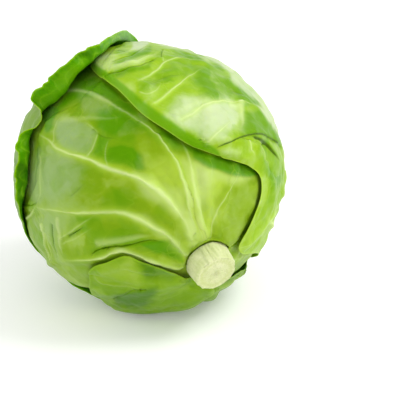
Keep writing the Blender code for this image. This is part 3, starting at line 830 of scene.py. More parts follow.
def brim_points(index, bearing, fraction):
    """Inner face of a leaf's brim: the blade carried on past its margin, bent off it and then straight."""
    leaf = LEAVES[index]
    bend = blend(bearing, leaf.brim_bend, BRIM_ROUNDING)
    turn = np.radians(bearing)
    waves = leaf.wave_bend * np.sin(turn * leaf.wave_count)
    for count, wander, phase, share, power in RUFFLES:
        ruffle = np.sin(turn * count + 2 * np.sin(turn * wander) + phase)
        waves += share * leaf.ruffle_bend * ruffle * fraction**power
    bend = np.radians(bend + waves * np.clip(bend / WAVED_BEND, 0, 1))
    folded = np.clip(fraction / leaf.fold_share, 0, 1)
    turn = bend * folded
    chord = brim_arc(leaf, bearing) * leaf.fold_share * folded * np.sinc(turn / (2 * math.pi))
    straight = brim_arc(leaf, bearing) * np.clip(fraction - leaf.fold_share, 0, 1)
    advance = chord * np.cos(turn / 2) + straight * np.cos(bend)
    rise = chord * np.sin(turn / 2) + straight * np.sin(bend)
    follow, rays = blade_points(index, margin(leaf, bearing) + advance, bearing)
    points = follow + rays * (np.radians(rise) * HEAD_RADIUS)[:, None]
    return above_floor(points, BLADE + layers_outside(index + 1, rays)), rays


def spots(pixels, index):
    """Unit vectors from the head's centre to where pixels of the photograph meet a leaf."""
    pixels = np.array(pixels, dtype=float)
    across = (pixels[:, 0] - PHOTO_SIZE / 2) * METRES_PER_PIXEL
    upward = (PHOTO_SIZE / 2 - pixels[:, 1]) * METRES_PER_PIXEL
    sight = across[:, None] * RIGHT + upward[:, None] * UP - TOWARD * CAMERA_DISTANCE
    sight /= np.linalg.norm(sight, axis=1)[:, None]
    start = CAMERA_PLACE - CENTRE
    along = -sight @ start
    radius = np.full(len(pixels), SURFACE_RADIUS)
    for _ in range(SIGHT_ROUNDS):
        inside = along**2 - (start @ start - radius**2)
        places = start + sight * (along - np.sqrt(np.maximum(inside, 0)))[:, None]
        rays = places / np.linalg.norm(places, axis=1)[:, None]
        points, _ = blade_points(index, *unwrap(LEAVES[index], rays))
        radius = np.linalg.norm(points, axis=1) + BLADE
    return rays


# Lines on the leaves: veins, ridges, creases and ledges

@dataclass
class Line:
    """A line along unit vectors. Half width and height are in mm, and a dark one has a shade below 0: on a
    fold or ledge that is painted shade, and a shade above 0 there is painted light on a ridge.
    """

    rays: np.ndarray
    width: float
    height: float
    shade: float
    kind: str = "vein"
    fade_in: float = 0.06
    fade_out: float = 0.35

    def taper(self, along):
        """Share of the line's width that is left at a share of its length."""
        return 1 - (BROAD_TAPER if self.width >= BROAD_VEIN else FINE_TAPER) * along


def smooth_route(rays, steps=5):
    """Unit vectors on a smooth curve through the given ones."""
    padded = np.vstack([2 * rays[0] - rays[1], rays, 2 * rays[-1] - rays[-2]])
    curve = []
    for before, start, end, after in zip(padded[:-3], padded[1:-2], padded[2:-1], padded[3:]):
        for t in np.arange(steps) / steps:
            curve.append(0.5 * (
                2 * start + (end - before) * t + (2 * before - 5 * start + 4 * end - after) * t**2
                + (3 * start - before - 3 * end + after) * t**3
            ))
    curve = np.array(curve + [rays[-1]])
    return curve / np.linalg.norm(curve, axis=1)[:, None]


def on_plane(leaf, route):
    """Unit vectors of a route given as distances along and across the leaf's midrib."""
    along, across = np.array(route, dtype=float).T
    along = along - leaf.middle
    return wrap(leaf, np.hypot(along, across), np.degrees(np.arctan2(across, along)))


def branches(route, chance, reach, angle):
    """Routes of smaller veins that leave a vein on alternate sides and bend along with it."""
    route = np.array(route, dtype=float)
    found = []
    for number, share in enumerate(np.linspace(*BRANCHED_PART)):
        place = share * (len(route) - 1)
        step = min(int(place), len(route) - 2)
        span = route[step + 1] - route[step]
        heading = math.atan2(span[1], span[0])
        side = 1 if number % 2 else -1
        turn = math.radians(angle + chance.uniform(-BRANCH_TURN, BRANCH_TURN)) * side
        length = reach * (BRANCH_LONGEST - BRANCH_SHORTENING * share) * chance.uniform(*BRANCH_LENGTHS)
        branch = [route[step] + (place - step) * span]
        for part in BRANCH_PARTS:
            way = heading + turn * (1 - BRANCH_STRAIGHTENING * part)
            step_length = length / len(BRANCH_PARTS)
            branch.append(branch[-1] + step_length * np.array([math.cos(way), math.sin(way)]))
        found.append(branch)
    return found


def hidden_lines(index):
    """Veins along the ribs that the photograph doesn't show, with branches and twigs."""
    leaf = LEAVES[index]
    chance = np.random.default_rng(100 + index)
    ribs = leaf.ribs[leaf.traced_ribs:]
    if leaf.has_midrib:
        ribs = [midrib(leaf)] + ribs
    lines = []
    for rib in ribs:
        lines.append(Line(smooth_route(on_plane(leaf, rib)), **HIDDEN_RIB))
        for branch in branches(rib, chance, *BRANCH_REACH_ANGLE):
            lines.append(Line(smooth_route(on_plane(leaf, branch)), **HIDDEN_BRANCH))
            for twig in branches(branch, chance, *TWIG_REACH_ANGLE)[1::2]:
                lines.append(Line(smooth_route(on_plane(leaf, twig)), **HIDDEN_TWIG))
    return lines


def lines_of(index):
    """All the lines of a leaf: those of the photograph, and veins along the ribs that it doesn't show."""
    leaf = LEAVES[index]
    lines = []
    for kind, group in (("vein", leaf.veins), ("fold", leaf.folds), ("ledge", leaf.ledges)):
        for route, width, height, shade in group:
            lines.append(Line(smooth_route(spots(route, index)), width, height, shade, kind))
    for route, width, height, shade in leaf.brim_veins:
        bearing, fraction = np.array(route, dtype=float).T
        rays = wrap(leaf, margin(leaf, bearing) + brim_arc(leaf, bearing) * fraction, bearing)
        lines.append(Line(smooth_route(rays), width, height, shade))
    hidden = hidden_lines(index)
    if leaf.traced_ribs and leaf.has_midrib:
        seen = spots([route[len(route) // 2] for route, *_ in leaf.veins], index)
        hidden = [line for line in hidden if stands_clear(line, seen)]
    return lines + hidden


def stands_clear(line, seen):
    """Whether a line lies far enough from the traced ones, and where the photograph doesn't show the head."""
    middle = line.rays[len(line.rays) // 2][None]
    x, y, facing = pixels_of(CENTRE + SURFACE_RADIUS * middle, middle)
    shown = facing[0] > 0.5 and y[0] + SHOWN_SLOPE * x[0] < SHOWN_BELOW
    return bool(np.max(seen @ middle[0]) < math.cos(TRACED_CLEARANCE)) and not shown


def to_line(rays, line):
    """Signed distance in mm from unit vectors to a line, and how far along it they are (0 to 1)."""
    starts, spans = line.rays[:-1], np.diff(line.rays, axis=0)
    lengths = np.linalg.norm(spans, axis=1)
    before = np.concatenate([[0], np.cumsum(lengths)])
    best = np.full(len(rays), np.inf)
    sign, along = np.ones(len(rays)), np.zeros(len(rays))
    for start, span, length, passed in zip(starts, spans, lengths, before):
        share = np.clip((rays - start) @ span / length**2, 0, 1)
        offset = rays - start - share[:, None] * span
        distance = np.linalg.norm(offset, axis=1)
        nearer = distance < best
        best[nearer] = distance[nearer]
        sign[nearer] = np.sign(offset[nearer] @ np.cross(start, span))
        along[nearer] = (passed + share[nearer] * length) / before[-1]
    return best * sign * HEAD_RADIUS / MM, along


def line_sets(lines):
    """A set number for each line, so that close neighbours are in different sets."""
    members = [[] for _ in range(LINE_SETS)]
    chosen = []
    for line in lines:
        sample = line.rays[:: max(len(line.rays) // 8, 1)]
        room = [min([np.min(np.linalg.norm(sample[:, None] - other, axis=2)) for other in group],
                    default=math.inf) for group in members]
        chosen.append(int(np.argmax(room)))
        members[chosen[-1]].append(sample)
    return chosen


def drawn(index, rays):
    """What a leaf's lines do at unit vectors: relief in mm, and values for its material, among them painted
    shade along creases and ledges and painted light along ridges.
    """
    lines = lines_of(index)
    total = len(rays)
    sheet, ridge, halo = np.zeros(total), np.zeros(total), np.zeros(total)
    clear = np.full(total, FAR_AWAY)
    sets = np.zeros((LINE_SETS, total, 3))
    nearest = np.full((LINE_SETS, total), np.inf)
    for line, chosen in zip(lines, line_sets(lines)):
        middle = line.rays[len(line.rays) // 2]
        widest = np.max(np.arccos(np.clip(line.rays @ middle, -1, 1))) + LINE_SURROUNDINGS
        near = np.flatnonzero(rays @ middle > math.cos(min(widest, math.pi)))
        distance, along = to_line(rays[near], line)
        strength = ease(along / line.fade_in) * ease((1 - along) / line.fade_out)
        width = line.width * line.taper(along)
        away = np.abs(distance) / width
        broad = line.kind == "vein" and line.width >= BROAD_VEIN
        if line.kind == "vein":
            ridge[near] = np.maximum(ridge[near], line.height * strength * np.exp(-away**2))
            glow = np.exp(-((away / (HALO_BROAD if broad else HALO_FINE)) ** 2))
            halo[near] = np.maximum(halo[near], line.shade * strength * glow)
            if line.width >= QUILTING_VEIN:
                clear[near] = np.minimum(clear[near], np.abs(distance) + UNQUILTED_END * (1 - strength))
        # Folds and ledges also paint: a shade below 0 is painted shade along a crease or step, above 0
        # painted light along a ridge
        elif line.kind == "fold":
            sheet[near] += line.height * strength * np.exp(-away**2)
            halo[near] += line.shade * FOLD_SHADE * strength * np.exp(-((away / FOLD_HALO) ** 2))
        else:
            fall = 1 - ease(np.abs(distance) / LEDGE_REACH)
            sheet[near] += line.height * strength * 0.5 * np.tanh(distance / width) * fall
            halo[near] += line.shade * FOLD_SHADE * strength * np.exp(-((away / LEDGE_HALO) ** 2))
        crest, paleness = 1.0, line.shade * (1 - CREST_FADING * along)
        if broad:
            crest = CREST_AT_BASE + (CREST_AT_TIP - CREST_AT_BASE) * along
            paleness = paleness * (PALE_AT_BASE + (1 - PALE_AT_BASE) * ease(along / CREST_FADE_IN))
        paleness = paleness * strength * (1 - ease((away - LINE_CUT_FROM) / LINE_CUT_FADE))
        nearer = away < nearest[chosen][near]
        picked = near[nearer]
        nearest[chosen][picked] = away[nearer]
        sets[chosen][picked, 0] = np.clip(distance / (crest * width), -LINE_RANGE, LINE_RANGE)[nearer]
        sets[chosen][picked, 1] = paleness[nearer]
    return sheet + leaf_quilt(clear), ridge, halo, sets


def leaf_quilt(clear):
    """Bulge in mm of the blade between veins, for a clear distance in mm to the nearest of them."""
    return QUILT_HEIGHT * (1 - np.exp(-((clear / QUILT_REACH) ** 2)))


def ripple(rays, wavelength, seed, count=16):
    """Smooth bumps between about -1 and 1 with a wavelength in mm, the same for the same seed."""
    chance = np.random.default_rng(seed)
    ways = chance.normal(size=(count, 3))
    ways /= np.linalg.norm(ways, axis=1)[:, None]
    waves = 2 * math.pi * HEAD_RADIUS / MM / wavelength * chance.uniform(0.7, 1.3, count)
    return np.sum(np.sin(rays @ ways.T * waves + chance.uniform(0, 7, count)), axis=1) / math.sqrt(count)


def pixels_of(places, rays):
    """Where places on a leaf are in the photograph, and how far they face the camera."""
    sight = places - CAMERA_PLACE
    scale = CAMERA_DISTANCE / METRES_PER_PIXEL / -(sight @ TOWARD)
    x, y = PHOTO_SIZE / 2 + sight @ RIGHT * scale, PHOTO_SIZE / 2 - sight @ UP * scale
    return x, y, ease((rays @ TOWARD - TURNED_AWAY) / TURNING)


def inside_by(corners, x, y):
    """Distance of points inside an outline, below 0 outside it."""
    corners = np.array(corners, dtype=float)
    places = np.stack([x, y], axis=1)
    nearest = np.full(len(x), np.inf)
    within = np.zeros(len(x), dtype=bool)
    for start, end in zip(corners, np.roll(corners, -1, axis=0)):
        nearest = np.minimum(nearest, to_route(places, [start, end]))
        if start[1] != end[1]:
            crossing = start[0] + (y - start[1]) * (end[0] - start[0]) / (end[1] - start[1])
            within ^= ((start[1] > y) != (end[1] > y)) & (x < crossing)
    return np.where(within, nearest, -nearest)


def painted(patches, x, y, facing, rays):
    """Sum of a leaf's patches at pixels of the photograph. A patch is soft, and its edge wanders a little."""
    total = np.zeros(len(x))
    x = x + PATCH_WANDER * ripple(rays, PATCH_WANDER_LENGTH, 7)
    y = y + PATCH_WANDER * ripple(rays, PATCH_WANDER_LENGTH, 8)
    for patch in patches:
        if len(patch) == 3:
            corners, softness, strength = patch
            total += strength * ease(0.5 + 0.5 * inside_by(corners, x, y) / softness)
            continue
        middle_x, middle_y, wide, high, turn, strength = patch
        across, upward = x - middle_x, middle_y - y
        turn = math.radians(turn)
        first = (across * math.cos(turn) + upward * math.sin(turn)) / wide
        second = (upward * math.cos(turn) - across * math.sin(turn)) / high
        total += strength * np.exp(-((first**2 + second**2) ** PATCH_EDGE))
    return total * facing


def outside_of(leaf, rays):
    """Distance in mm of unit vectors outside a leaf's rim."""
    reach, bearing = unwrap(leaf, rays)
    return np.radians(reach - margin(leaf, bearing) - brim_arc(leaf, bearing)) * HEAD_RADIUS / MM


# Meshes

def grid_faces(side, start, flip):
    """Four-sided faces of a square grid of points, numbered from a start."""
    corner = (np.arange(side - 1)[:, None] * side + np.arange(side - 1)).ravel() + start
    faces = np.stack([corner, corner + side, corner + side + 1, corner + 1], axis=1)
    return faces[:, ::-1] if flip else faces


def perimeter(side):
    """Numbers of the points on a square grid's edge, once round."""
    step = np.arange(side - 1)
    return np.concatenate([step * side, (side - 1) * side + step, (side - 1 - step) * side + side - 1,
                           side - 1 - step])


def square_grid(rings):
    """Bearings in degrees and ring numbers of a square grid of points that is rounded to a disc."""
    side = 2 * rings + 1
    u, v = np.meshgrid(np.linspace(-1, 1, side), np.linspace(-1, 1, side), indexing="ij")
    u, v = u.ravel(), v.ravel()
    ring = np.maximum(np.abs(u), np.abs(v))
    scale = np.where(ring < TINY, 1, ring)
    u, v = u / scale, v / scale
    bearing = np.degrees(np.arctan2(v * np.sqrt(1 - u**2 / 2), u * np.sqrt(1 - v**2 / 2)))
    return bearing, ring * rings


def wobbled_margin(leaf, bearing):
    """The leaf's margin in degrees, with fine uneven waves."""
    turn = np.radians(bearing)
    waves = np.zeros(len(turn))
    for count, swing, wander, share in EDGE_WAVES:
        waves += share * np.sin(turn * count + swing * np.sin(turn * wander))
    return margin(leaf, bearing) + EDGE_WOBBLE * waves


def unit(vectors):
    """Vectors at a length of 1."""
    return vectors / np.maximum(np.linalg.norm(vectors, axis=1), TINY)[:, None]


def grid_normals(points, side, rays):
    """Unit normals of a grid's points on their ray's side, and whether the grid itself faces that way."""
    net = points.reshape(side, side, 3)
    normals = unit(np.cross(np.gradient(net, axis=0), np.gradient(net, axis=1)).reshape(-1, 3))
    middle = len(points) // 2
    facing = np.sign(normals[middle] @ rays[middle])
    return normals * facing, facing > 0


def rounded_rim(outer, inner, loop, normals, thickness):
    """Points between the edges of a leaf's two faces, pushed a little outward."""
    middle = (outer[loop] + inner[loop]) / 2
    beside = unit(np.cross(np.roll(middle, -1, axis=0) - np.roll(middle, 1, axis=0), normals[loop]))
    away = np.sum(beside * (middle - inner[len(inner) // 2]), axis=1)
    beside *= np.where(np.median(away) < 0, -1, 1)
    return middle + beside * thickness[loop][:, None] * RIM_BULGE


def leaf_faces(side, loop, outward):
    """Faces of a leaf's outer grid, inner grid and rim, and their material slots."""
    count = side * side
    rim = 2 * count + np.arange(len(loop))
    next_loop, next_rim = np.roll(loop, -1), np.roll(rim, -1)
    rims = [np.stack([loop, next_loop, next_rim, rim], axis=1),
            np.stack([rim, next_rim, count + next_loop, count + loop], axis=1)]
    faces = [grid_faces(side, 0, not outward), grid_faces(side, count, outward)]
    faces += [group[:, ::-1] if outward else group for group in rims]
    slots = np.concatenate([np.full(len(group), slot) for group, slot in zip(faces, (0, 1, 0, 1))])
    return np.concatenate(faces), slots


def add_mesh(name, points, faces, materials, values=None, slots=None):
    """Object with a smooth mesh, its materials and its values for them at each point."""
    mesh = bpy.data.meshes.new(name)
    mesh.from_pydata(np.asarray(points).tolist(), [], faces)
    for material in materials:
        mesh.materials.append(material)
    if slots is not None:
        mesh.polygons.foreach_set("material_index", slots.astype(np.int32))
    mesh.shade_smooth()
    for label, value in (values or {}).items():
        value = np.asarray(value, dtype=np.float32)
        kind, key = ("FLOAT", "value") if value.ndim == 1 else ("FLOAT_VECTOR", "vector")
        mesh.attributes.new(label, kind, "POINT").data.foreach_set(key, value.ravel())
    mesh.update()
    piece = bpy.data.objects.new(name, mesh)
    bpy.context.scene.collection.objects.link(piece)
    return piece


def make_leaf(index, materials):
    """A leaf as in the frame, on a finer grid: two faces with a rounded rim between them."""
    leaf = LEAVES[index]
    rings = leaf.blade_rings + leaf.brim_rings
    side = 2 * rings + 1
    bearing, rank = square_grid(rings)
    edge = wobbled_margin(leaf, bearing)
    reach = edge * np.clip(rank / leaf.blade_rings, 0, 1) ** RING_CROWDING
    inner, rays = blade_points(index, reach, bearing)
    past = np.clip((rank - leaf.blade_rings) / leaf.brim_rings, 0, 1)
    brim = past > 0
    inner[brim], rays[brim] = brim_points(index, bearing[brim], past[brim])
    flat = wrap(leaf, reach + brim_arc(leaf, bearing) * past, bearing)
    brim_mm = blend(bearing, leaf.brim_length, BRIM_ROUNDING) / MM
    inward = np.radians(edge - reach) * HEAD_RADIUS / MM + brim_mm * (1 - past)

    room = np.ones(len(flat))
    for other in LEAVES[index + 1:]:
        room *= ease((outside_of(other, flat) + ROOM_MARGIN) / ROOM_FADE)
    sheet, ridge, halo, sets = drawn(index, flat)
    fine = leaf.wrinkle * (ripple(flat, WRINKLE_LENGTH, index + 1)
                           + 0.5 * ripple(flat, WRINKLE_LENGTH / 2, index + 11))
    sheet += fine * ease(inward / WRINKLE_FADE) + SWELL_HEIGHT * ripple(flat, SWELL_LENGTH, index + 21)
    inner = inner + rays * (sheet * room * MM)[:, None]
    normals, outward = grid_normals(inner, side, rays)
    thickness = BLADE * (THIN_AT_RIM + (1 - THIN_AT_RIM) * ease(inward / RIM_FADE))
    thickness += rib_thickness(leaf, reach, bearing) * (1 - past)
    thickness += ridge * MM * (HIDDEN_RIDGE + (1 - HIDDEN_RIDGE) * room) * ease(inward / RIDGE_FADE)
    outer = inner + normals * thickness[:, None]
    floor = layers_outside(index + 1, rays) - CENTRE[2]
    outer[:, 2] = np.maximum(outer[:, 2], floor)
    inner[:, 2] = np.maximum(inner[:, 2], floor + BLADE / 2)

    loop = perimeter(side)
    rim = rounded_rim(outer, inner, loop, normals, thickness)
    faces, slots = leaf_faces(side, loop, outward)
    seen = pixels_of(outer + CENTRE, rays)
    # Darker brim green that grows with the bend: partly the margin's own saturated green, partly painted
    # shade where it turns down and in
    bent = np.clip(np.abs(blend(bearing, leaf.brim_bend, BRIM_ROUNDING)) / TURNED_BRIM, 0, 1)
    ended = ease((seen[0] - leaf.brim_ends) / BRIM_END_LENGTH)
    values = {"halo": halo, "inward": inward, "brim": past * (1 - ended) * bent**2}
    # Colour patches with painted shade and light, pale patches with painted highlights and wax patches with
    # painted sheen, faded where the leaf turns away
    for label, patches in (("tone", leaf.tones), ("pale", leaf.pales), ("bloom", leaf.blooms)):
        values[label] = painted(patches, *seen, flat)
    for number, group in enumerate(sets):
        values[f"line_{number}"] = group
    values = {label: np.concatenate([value, value, value[loop]]) for label, value in values.items()}
    points = np.concatenate([outer, inner, rim]) + CENTRE
    return add_mesh(leaf.name + "_blade", points, faces.tolist(), materials, values, slots)


# Materials

def shade(red, green, blue):
    """Linear colour of one given as it looks on a screen, 0 to 255."""
    return tuple((value / 255) ** 2.2 for value in (red, green, blue)) + (1.0,)


class Graph:
    """A material's node tree, with a short way to add nodes and link them."""

    def __init__(self, name):
        self.material = bpy.data.materials.new(name)
        self.material.use_nodes = True
        self.tree = self.material.node_tree
        self.shader = self.tree.nodes["Principled BSDF"]

    def add(self, kind, sockets, out=0, **settings):
        """A node with its settings, and with values or links on its sockets; returns one output."""
        node = self.tree.nodes.new(kind)
        for name, value in settings.items():
            setattr(node, name, value)
        for name, value in sockets.items():
            self.fill(node.inputs[name], value)
        return node.outputs[out]

    def fill(self, socket, value):
        """Put a value or a link on a socket."""
        if isinstance(value, bpy.types.NodeSocket):
            self.tree.links.new(value, socket)
        else:
            socket.default_value = value

    def set(self, **sockets):
        """Values or links on the shader's sockets, spaces in their names given as underscores."""
        for name, value in sockets.items():
            self.fill(self.shader.inputs[name.replace("_", " ")], value)

    def math(self, operation, first, second=0.0, clamp=False):
        """Result of a sum on values or sockets."""
        return self.add("ShaderNodeMath", {0: first, 1: second}, operation=operation, use_clamp=clamp)

    def mix(self, factor, first, second):
        """Colour between two, by a factor."""
        return self.add("ShaderNodeMix", {0: factor, 6: first, 7: second}, 2, data_type="RGBA")

    def stored(self, name, out="Fac"):
        """A value stored on the mesh."""
        return self.add("ShaderNodeAttribute", {}, out, attribute_name=name)

    def part(self, vector, number=0):
        """One of the three parts of a vector."""
        return self.add("ShaderNodeSeparateXYZ", {0: vector}, number)

    def noise(self, place, scale, detail=3.0):
        """Noise about 0, with a scale in bumps per metre."""
        cloud = self.add("ShaderNodeTexNoise", {"Vector": place, "Scale": scale, "Detail": detail}, "Fac")
        return self.math("SUBTRACT", cloud, 0.5)

    def band(self, value, low, high):
        """0 to 1 as a value goes from low to high, smoothly."""
        return self.add("ShaderNodeMapRange", {"Value": value, "From Min": low, "From Max": high},
                        interpolation_type="SMOOTHSTEP")

    def bell(self, value, sharpness):
        """exp(-sharpness value squared)."""
        power = self.math("MULTIPLY", self.math("MULTIPLY", value, value), -sharpness)
        return self.math("EXPONENT", power)

    def share(self, value, amount):
        """A share of a value's part above 0, up to 1; of the part below 0 if the share is below 0."""
        if amount < 0:
            value = self.math("MULTIPLY", value, -1.0)
        return self.math("MULTIPLY", self.math("MAXIMUM", value, 0.0), abs(amount), clamp=True)

    def total(self, parts, amounts, start=0.0, times=1.0):
        """A start value plus an amount of each named part."""
        for name, amount in amounts.items():
            start = self.math("ADD", start, self.math("MULTIPLY", parts[name], amount * times))
        return start

    def bump(self, height):
        """Normal for a height in mm."""
        return self.add("ShaderNodeBump", {"Height": height, "Distance": MM, "Strength": 1.0}, "Normal")


@dataclass
class Palette:
    """Colours of a leaf's face: its greens, which also carry painted shade and light, its veins and the glow
    beside them, whitish wax that also carries painted sheen, rim, and a darker brim that is partly painted
    shade.
    """

    base: tuple
    light: tuple
    dark: tuple
    vein: tuple
    glow: tuple
    bloom: tuple
    rim: tuple
    brim: tuple = None
    bloom_share: float = 0.85
    variation: float = 1.0
    bloom_everywhere: float = 0.0
    vein_share: float = 0.75
    rim_share: float = 0.7
    roughness: float = 0.40


def leaf_lines(graph):
    """Strength of the stored lines, above 0 for pale ones and below 0 for dark ones."""
    line = 0.0
    for number in range(LINE_SETS):
        stored = graph.stored(f"line_{number}", "Vector")
        bell = graph.bell(graph.part(stored, 0), LINE_SHARPNESS)
        line = graph.math("ADD", graph.math("MULTIPLY", bell, graph.part(stored, 1)), line)
    return line


def vein_net(graph, place, scale, width, seed):
    """Patches between small veins, about 0, and the veins, broken here and there."""
    cells = graph.add("ShaderNodeTexVoronoi", {"Vector": place, "Scale": scale, "Smoothness": NET_SMOOTHNESS},
                      "Color", feature="SMOOTH_F1")
    patch = graph.math("SUBTRACT", graph.part(cells), 0.5)
    edge = graph.add("ShaderNodeTexVoronoi", {"Vector": place, "Scale": scale}, "Distance",
                     feature="DISTANCE_TO_EDGE")
    veins = graph.math("SUBTRACT", 1.0, graph.band(edge, 0.0, width * MM * scale))
    kept = graph.band(graph.noise(place, scale * NET_BREAKS + seed, 1.0), *NET_KEPT_BAND)
    return patch, graph.math("MULTIPLY", veins, kept)


def leaf_texture(graph):
    """The named values that vary over a leaf, each about 0 or from 0 to 1."""
    place = graph.add("ShaderNodeTexCoord", {}, "Object")
    parts = {name: graph.noise(place, *noise) for name, noise in NOISES.items()}
    warp = graph.add("ShaderNodeTexNoise", {"Vector": place, "Scale": WARP_SCALE, "Detail": 3.0}, "Color")
    shift = graph.add("ShaderNodeVectorMath", {0: warp, 1: (0.5, 0.5, 0.5)}, operation="SUBTRACT")
    shift = graph.add("ShaderNodeVectorMath", {0: shift, "Scale": WARP_LENGTH}, operation="SCALE")
    bent = graph.add("ShaderNodeVectorMath", {0: place, 1: shift}, operation="ADD")
    parts["patch"], veins = vein_net(graph, bent, *COARSE_NET)
    parts["small_patch"], small_veins = vein_net(graph, bent, *SMALL_NET)
    parts["net"] = graph.math("ADD", veins, graph.math("MULTIPLY", small_veins, SMALL_NET_SHARE))
    parts["line"] = leaf_lines(graph)
    return parts


def leaf_material(name, palette):
    """Waxy leaf: patches of green between small veins, pale main veins that glow at the sides, whitish wax,
    and painted shade, light, highlights and sheen from the stored patches and lines.
    """
    graph = Graph(name)
    parts = leaf_texture(graph)
    # Stored colour patches, which include painted shade and painted light, plus random variation from noise
    tone = graph.total(parts, TONE_AMOUNTS, graph.stored("tone"), palette.variation)
    # Whitish wax from stored patches that include painted sheen and painted reflections, plus random wax from
    # noise
    wax_and_sheen = graph.total(parts, WAX_AMOUNTS, graph.stored("bloom"))
    wax_and_sheen = graph.band(graph.math("ADD", wax_and_sheen, palette.bloom_everywhere), *WAX_BAND)
    # Pale rib colour with painted highlights on rib crests and ridges
    pale = graph.stored("pale")
    for part, amount in PALE_AMOUNTS.items():
        uneven = graph.math("MULTIPLY", graph.math("MULTIPLY", parts[part], amount), pale)
        pale = graph.math("ADD", pale, uneven)
    halo = graph.stored("halo")
    # Darkened green for the dark lines along creases and ledges: painted shade
    crease_shade = tuple(CREASE_DARKNESS * part for part in palette.dark[:3]) + (1.0,)
    coats = [
        # Lighter and darker greens from the patches: partly own colour, partly painted light and painted
        # shade
        (graph.share(tone, LIGHT_SHARE), palette.light),
        (graph.share(tone, -DARK_SHARE), palette.dark),
        # Whitish wax colour: real waxy coat and painted sheen
        (graph.math("MULTIPLY", wax_and_sheen, palette.bloom_share), palette.bloom),
        (graph.share(pale, PALE_SHARE), palette.vein),
        (graph.math("MULTIPLY", parts["net"], NET_SHARE), palette.glow),
        # Halo above 0: paler green beside veins, and painted light along fold ridges; below 0: painted shade
        # along creases and ledges
        (graph.share(halo, GLOW_SHARE), palette.glow),
        (graph.share(halo, -DARK_SHARE), palette.dark),
        # Lines above 0: pale vein crests, and painted light along fold ridges; below 0: painted shade in
        # creases and ledges
        (graph.share(parts["line"], palette.vein_share), palette.vein),
        (graph.share(parts["line"], -DARK_SHARE), crease_shade),
    ]
    # Darker green on the turned-under brim: partly its own colour, partly painted shade
    if palette.brim:
        turned = graph.band(graph.stored("brim"), *BRIM_BAND)
        coats.append((graph.math("MULTIPLY", turned, BRIM_SHARE), palette.brim))
    rim = graph.bell(graph.math("DIVIDE", graph.stored("inward"), RIM_WIDTH), 1.0)
    coats.append((graph.math("MULTIPLY", rim, palette.rim_share), palette.rim))
    colour = palette.base
    for factor, coat in coats:
        colour = graph.mix(factor, colour, coat)

    rough = graph.math("ADD", graph.math("MULTIPLY", wax_and_sheen, WAX_ROUGHNESS), palette.roughness)
    rough = graph.math("ADD", rough, graph.math("MULTIPLY", parts["fine"], FINE_ROUGHNESS))
    graph.set(Base_Color=colour, Roughness=rough, Normal=graph.bump(graph.total(parts, BUMP_HEIGHTS)),
              Specular_IOR_Level=0.32, Specular_Tint=graph.mix(wax_and_sheen, GREEN_SHEEN, WHITE),
              Subsurface_Weight=0.2, Subsurface_Radius=(0.7, 1.0, 0.1), Subsurface_Scale=0.003)
    return graph.material


FRONT_GREEN = Palette(
    base=shade(119, 152, 24), light=shade(157, 185, 62), dark=shade(80, 136, 0),
    vein=shade(210, 224, 162), glow=shade(160, 190, 56), bloom=shade(134, 162, 98), rim=shade(150, 188, 40),
)
REAR = Palette(
    base=shade(116, 152, 14), light=shade(152, 184, 40), dark=shade(84, 128, 0),
    vein=shade(190, 208, 120), glow=shade(150, 186, 50), bloom=shade(132, 160, 96), rim=shade(150, 188, 40),
)
CROWN_GREEN = Palette(
    base=shade(140, 177, 34), light=shade(176, 201, 104), dark=shade(98, 147, 0),
    vein=shade(214, 228, 166), glow=shade(172, 204, 84), bloom=shade(188, 204, 158), rim=shade(168, 202, 66),
    brim=shade(94, 154, 0), rim_share=0.6,
)
UNDER_OUTER = Palette(
    base=shade(96, 136, 20), light=shade(124, 156, 44), dark=shade(66, 108, 4),
    vein=shade(156, 182, 88), glow=shade(122, 158, 44), bloom=shade(112, 146, 48), rim=shade(130, 170, 20),
    bloom_everywhere=0.25, variation=1.3,
)
UNDER_INNER = Palette(
    base=shade(74, 138, 0), light=shade(104, 160, 6), dark=shade(42, 98, 0),
    vein=shade(118, 170, 30), glow=shade(98, 156, 10), bloom=shade(80, 134, 12), rim=shade(134, 178, 2),
    vein_share=0.8,
)
REMNANT_GREEN = Palette(
    base=shade(110, 148, 8), light=shade(138, 168, 52), dark=shade(70, 114, 0),
    vein=shade(160, 186, 88), glow=shade(138, 168, 56), bloom=shade(120, 154, 66), rim=shade(132, 168, 40),
    rim_share=0.4,
)
INNER = Palette(
    base=shade(136, 170, 36), light=shade(168, 192, 66), dark=shade(98, 140, 10),
    vein=shade(198, 212, 130), glow=shade(160, 190, 60), bloom=shade(150, 176, 86), rim=shade(168, 196, 60),
)
HEART_PALE = Palette(
    base=shade(158, 186, 62), light=shade(186, 206, 104), dark=shade(122, 160, 30),
    vein=shade(214, 224, 160), glow=shade(186, 206, 96), bloom=shade(180, 200, 110), rim=shade(190, 208, 110),
)

# Outer and inner face of each leaf
PALETTES = {
    "leaf_rear": (REAR, INNER),
    "leaf_front": (FRONT_GREEN, INNER),
    "leaf_crown": (CROWN_GREEN, INNER),
    "leaf_under": (UNDER_OUTER, UNDER_INNER),
    "leaf_remnant": (REMNANT_GREEN, INNER),
}


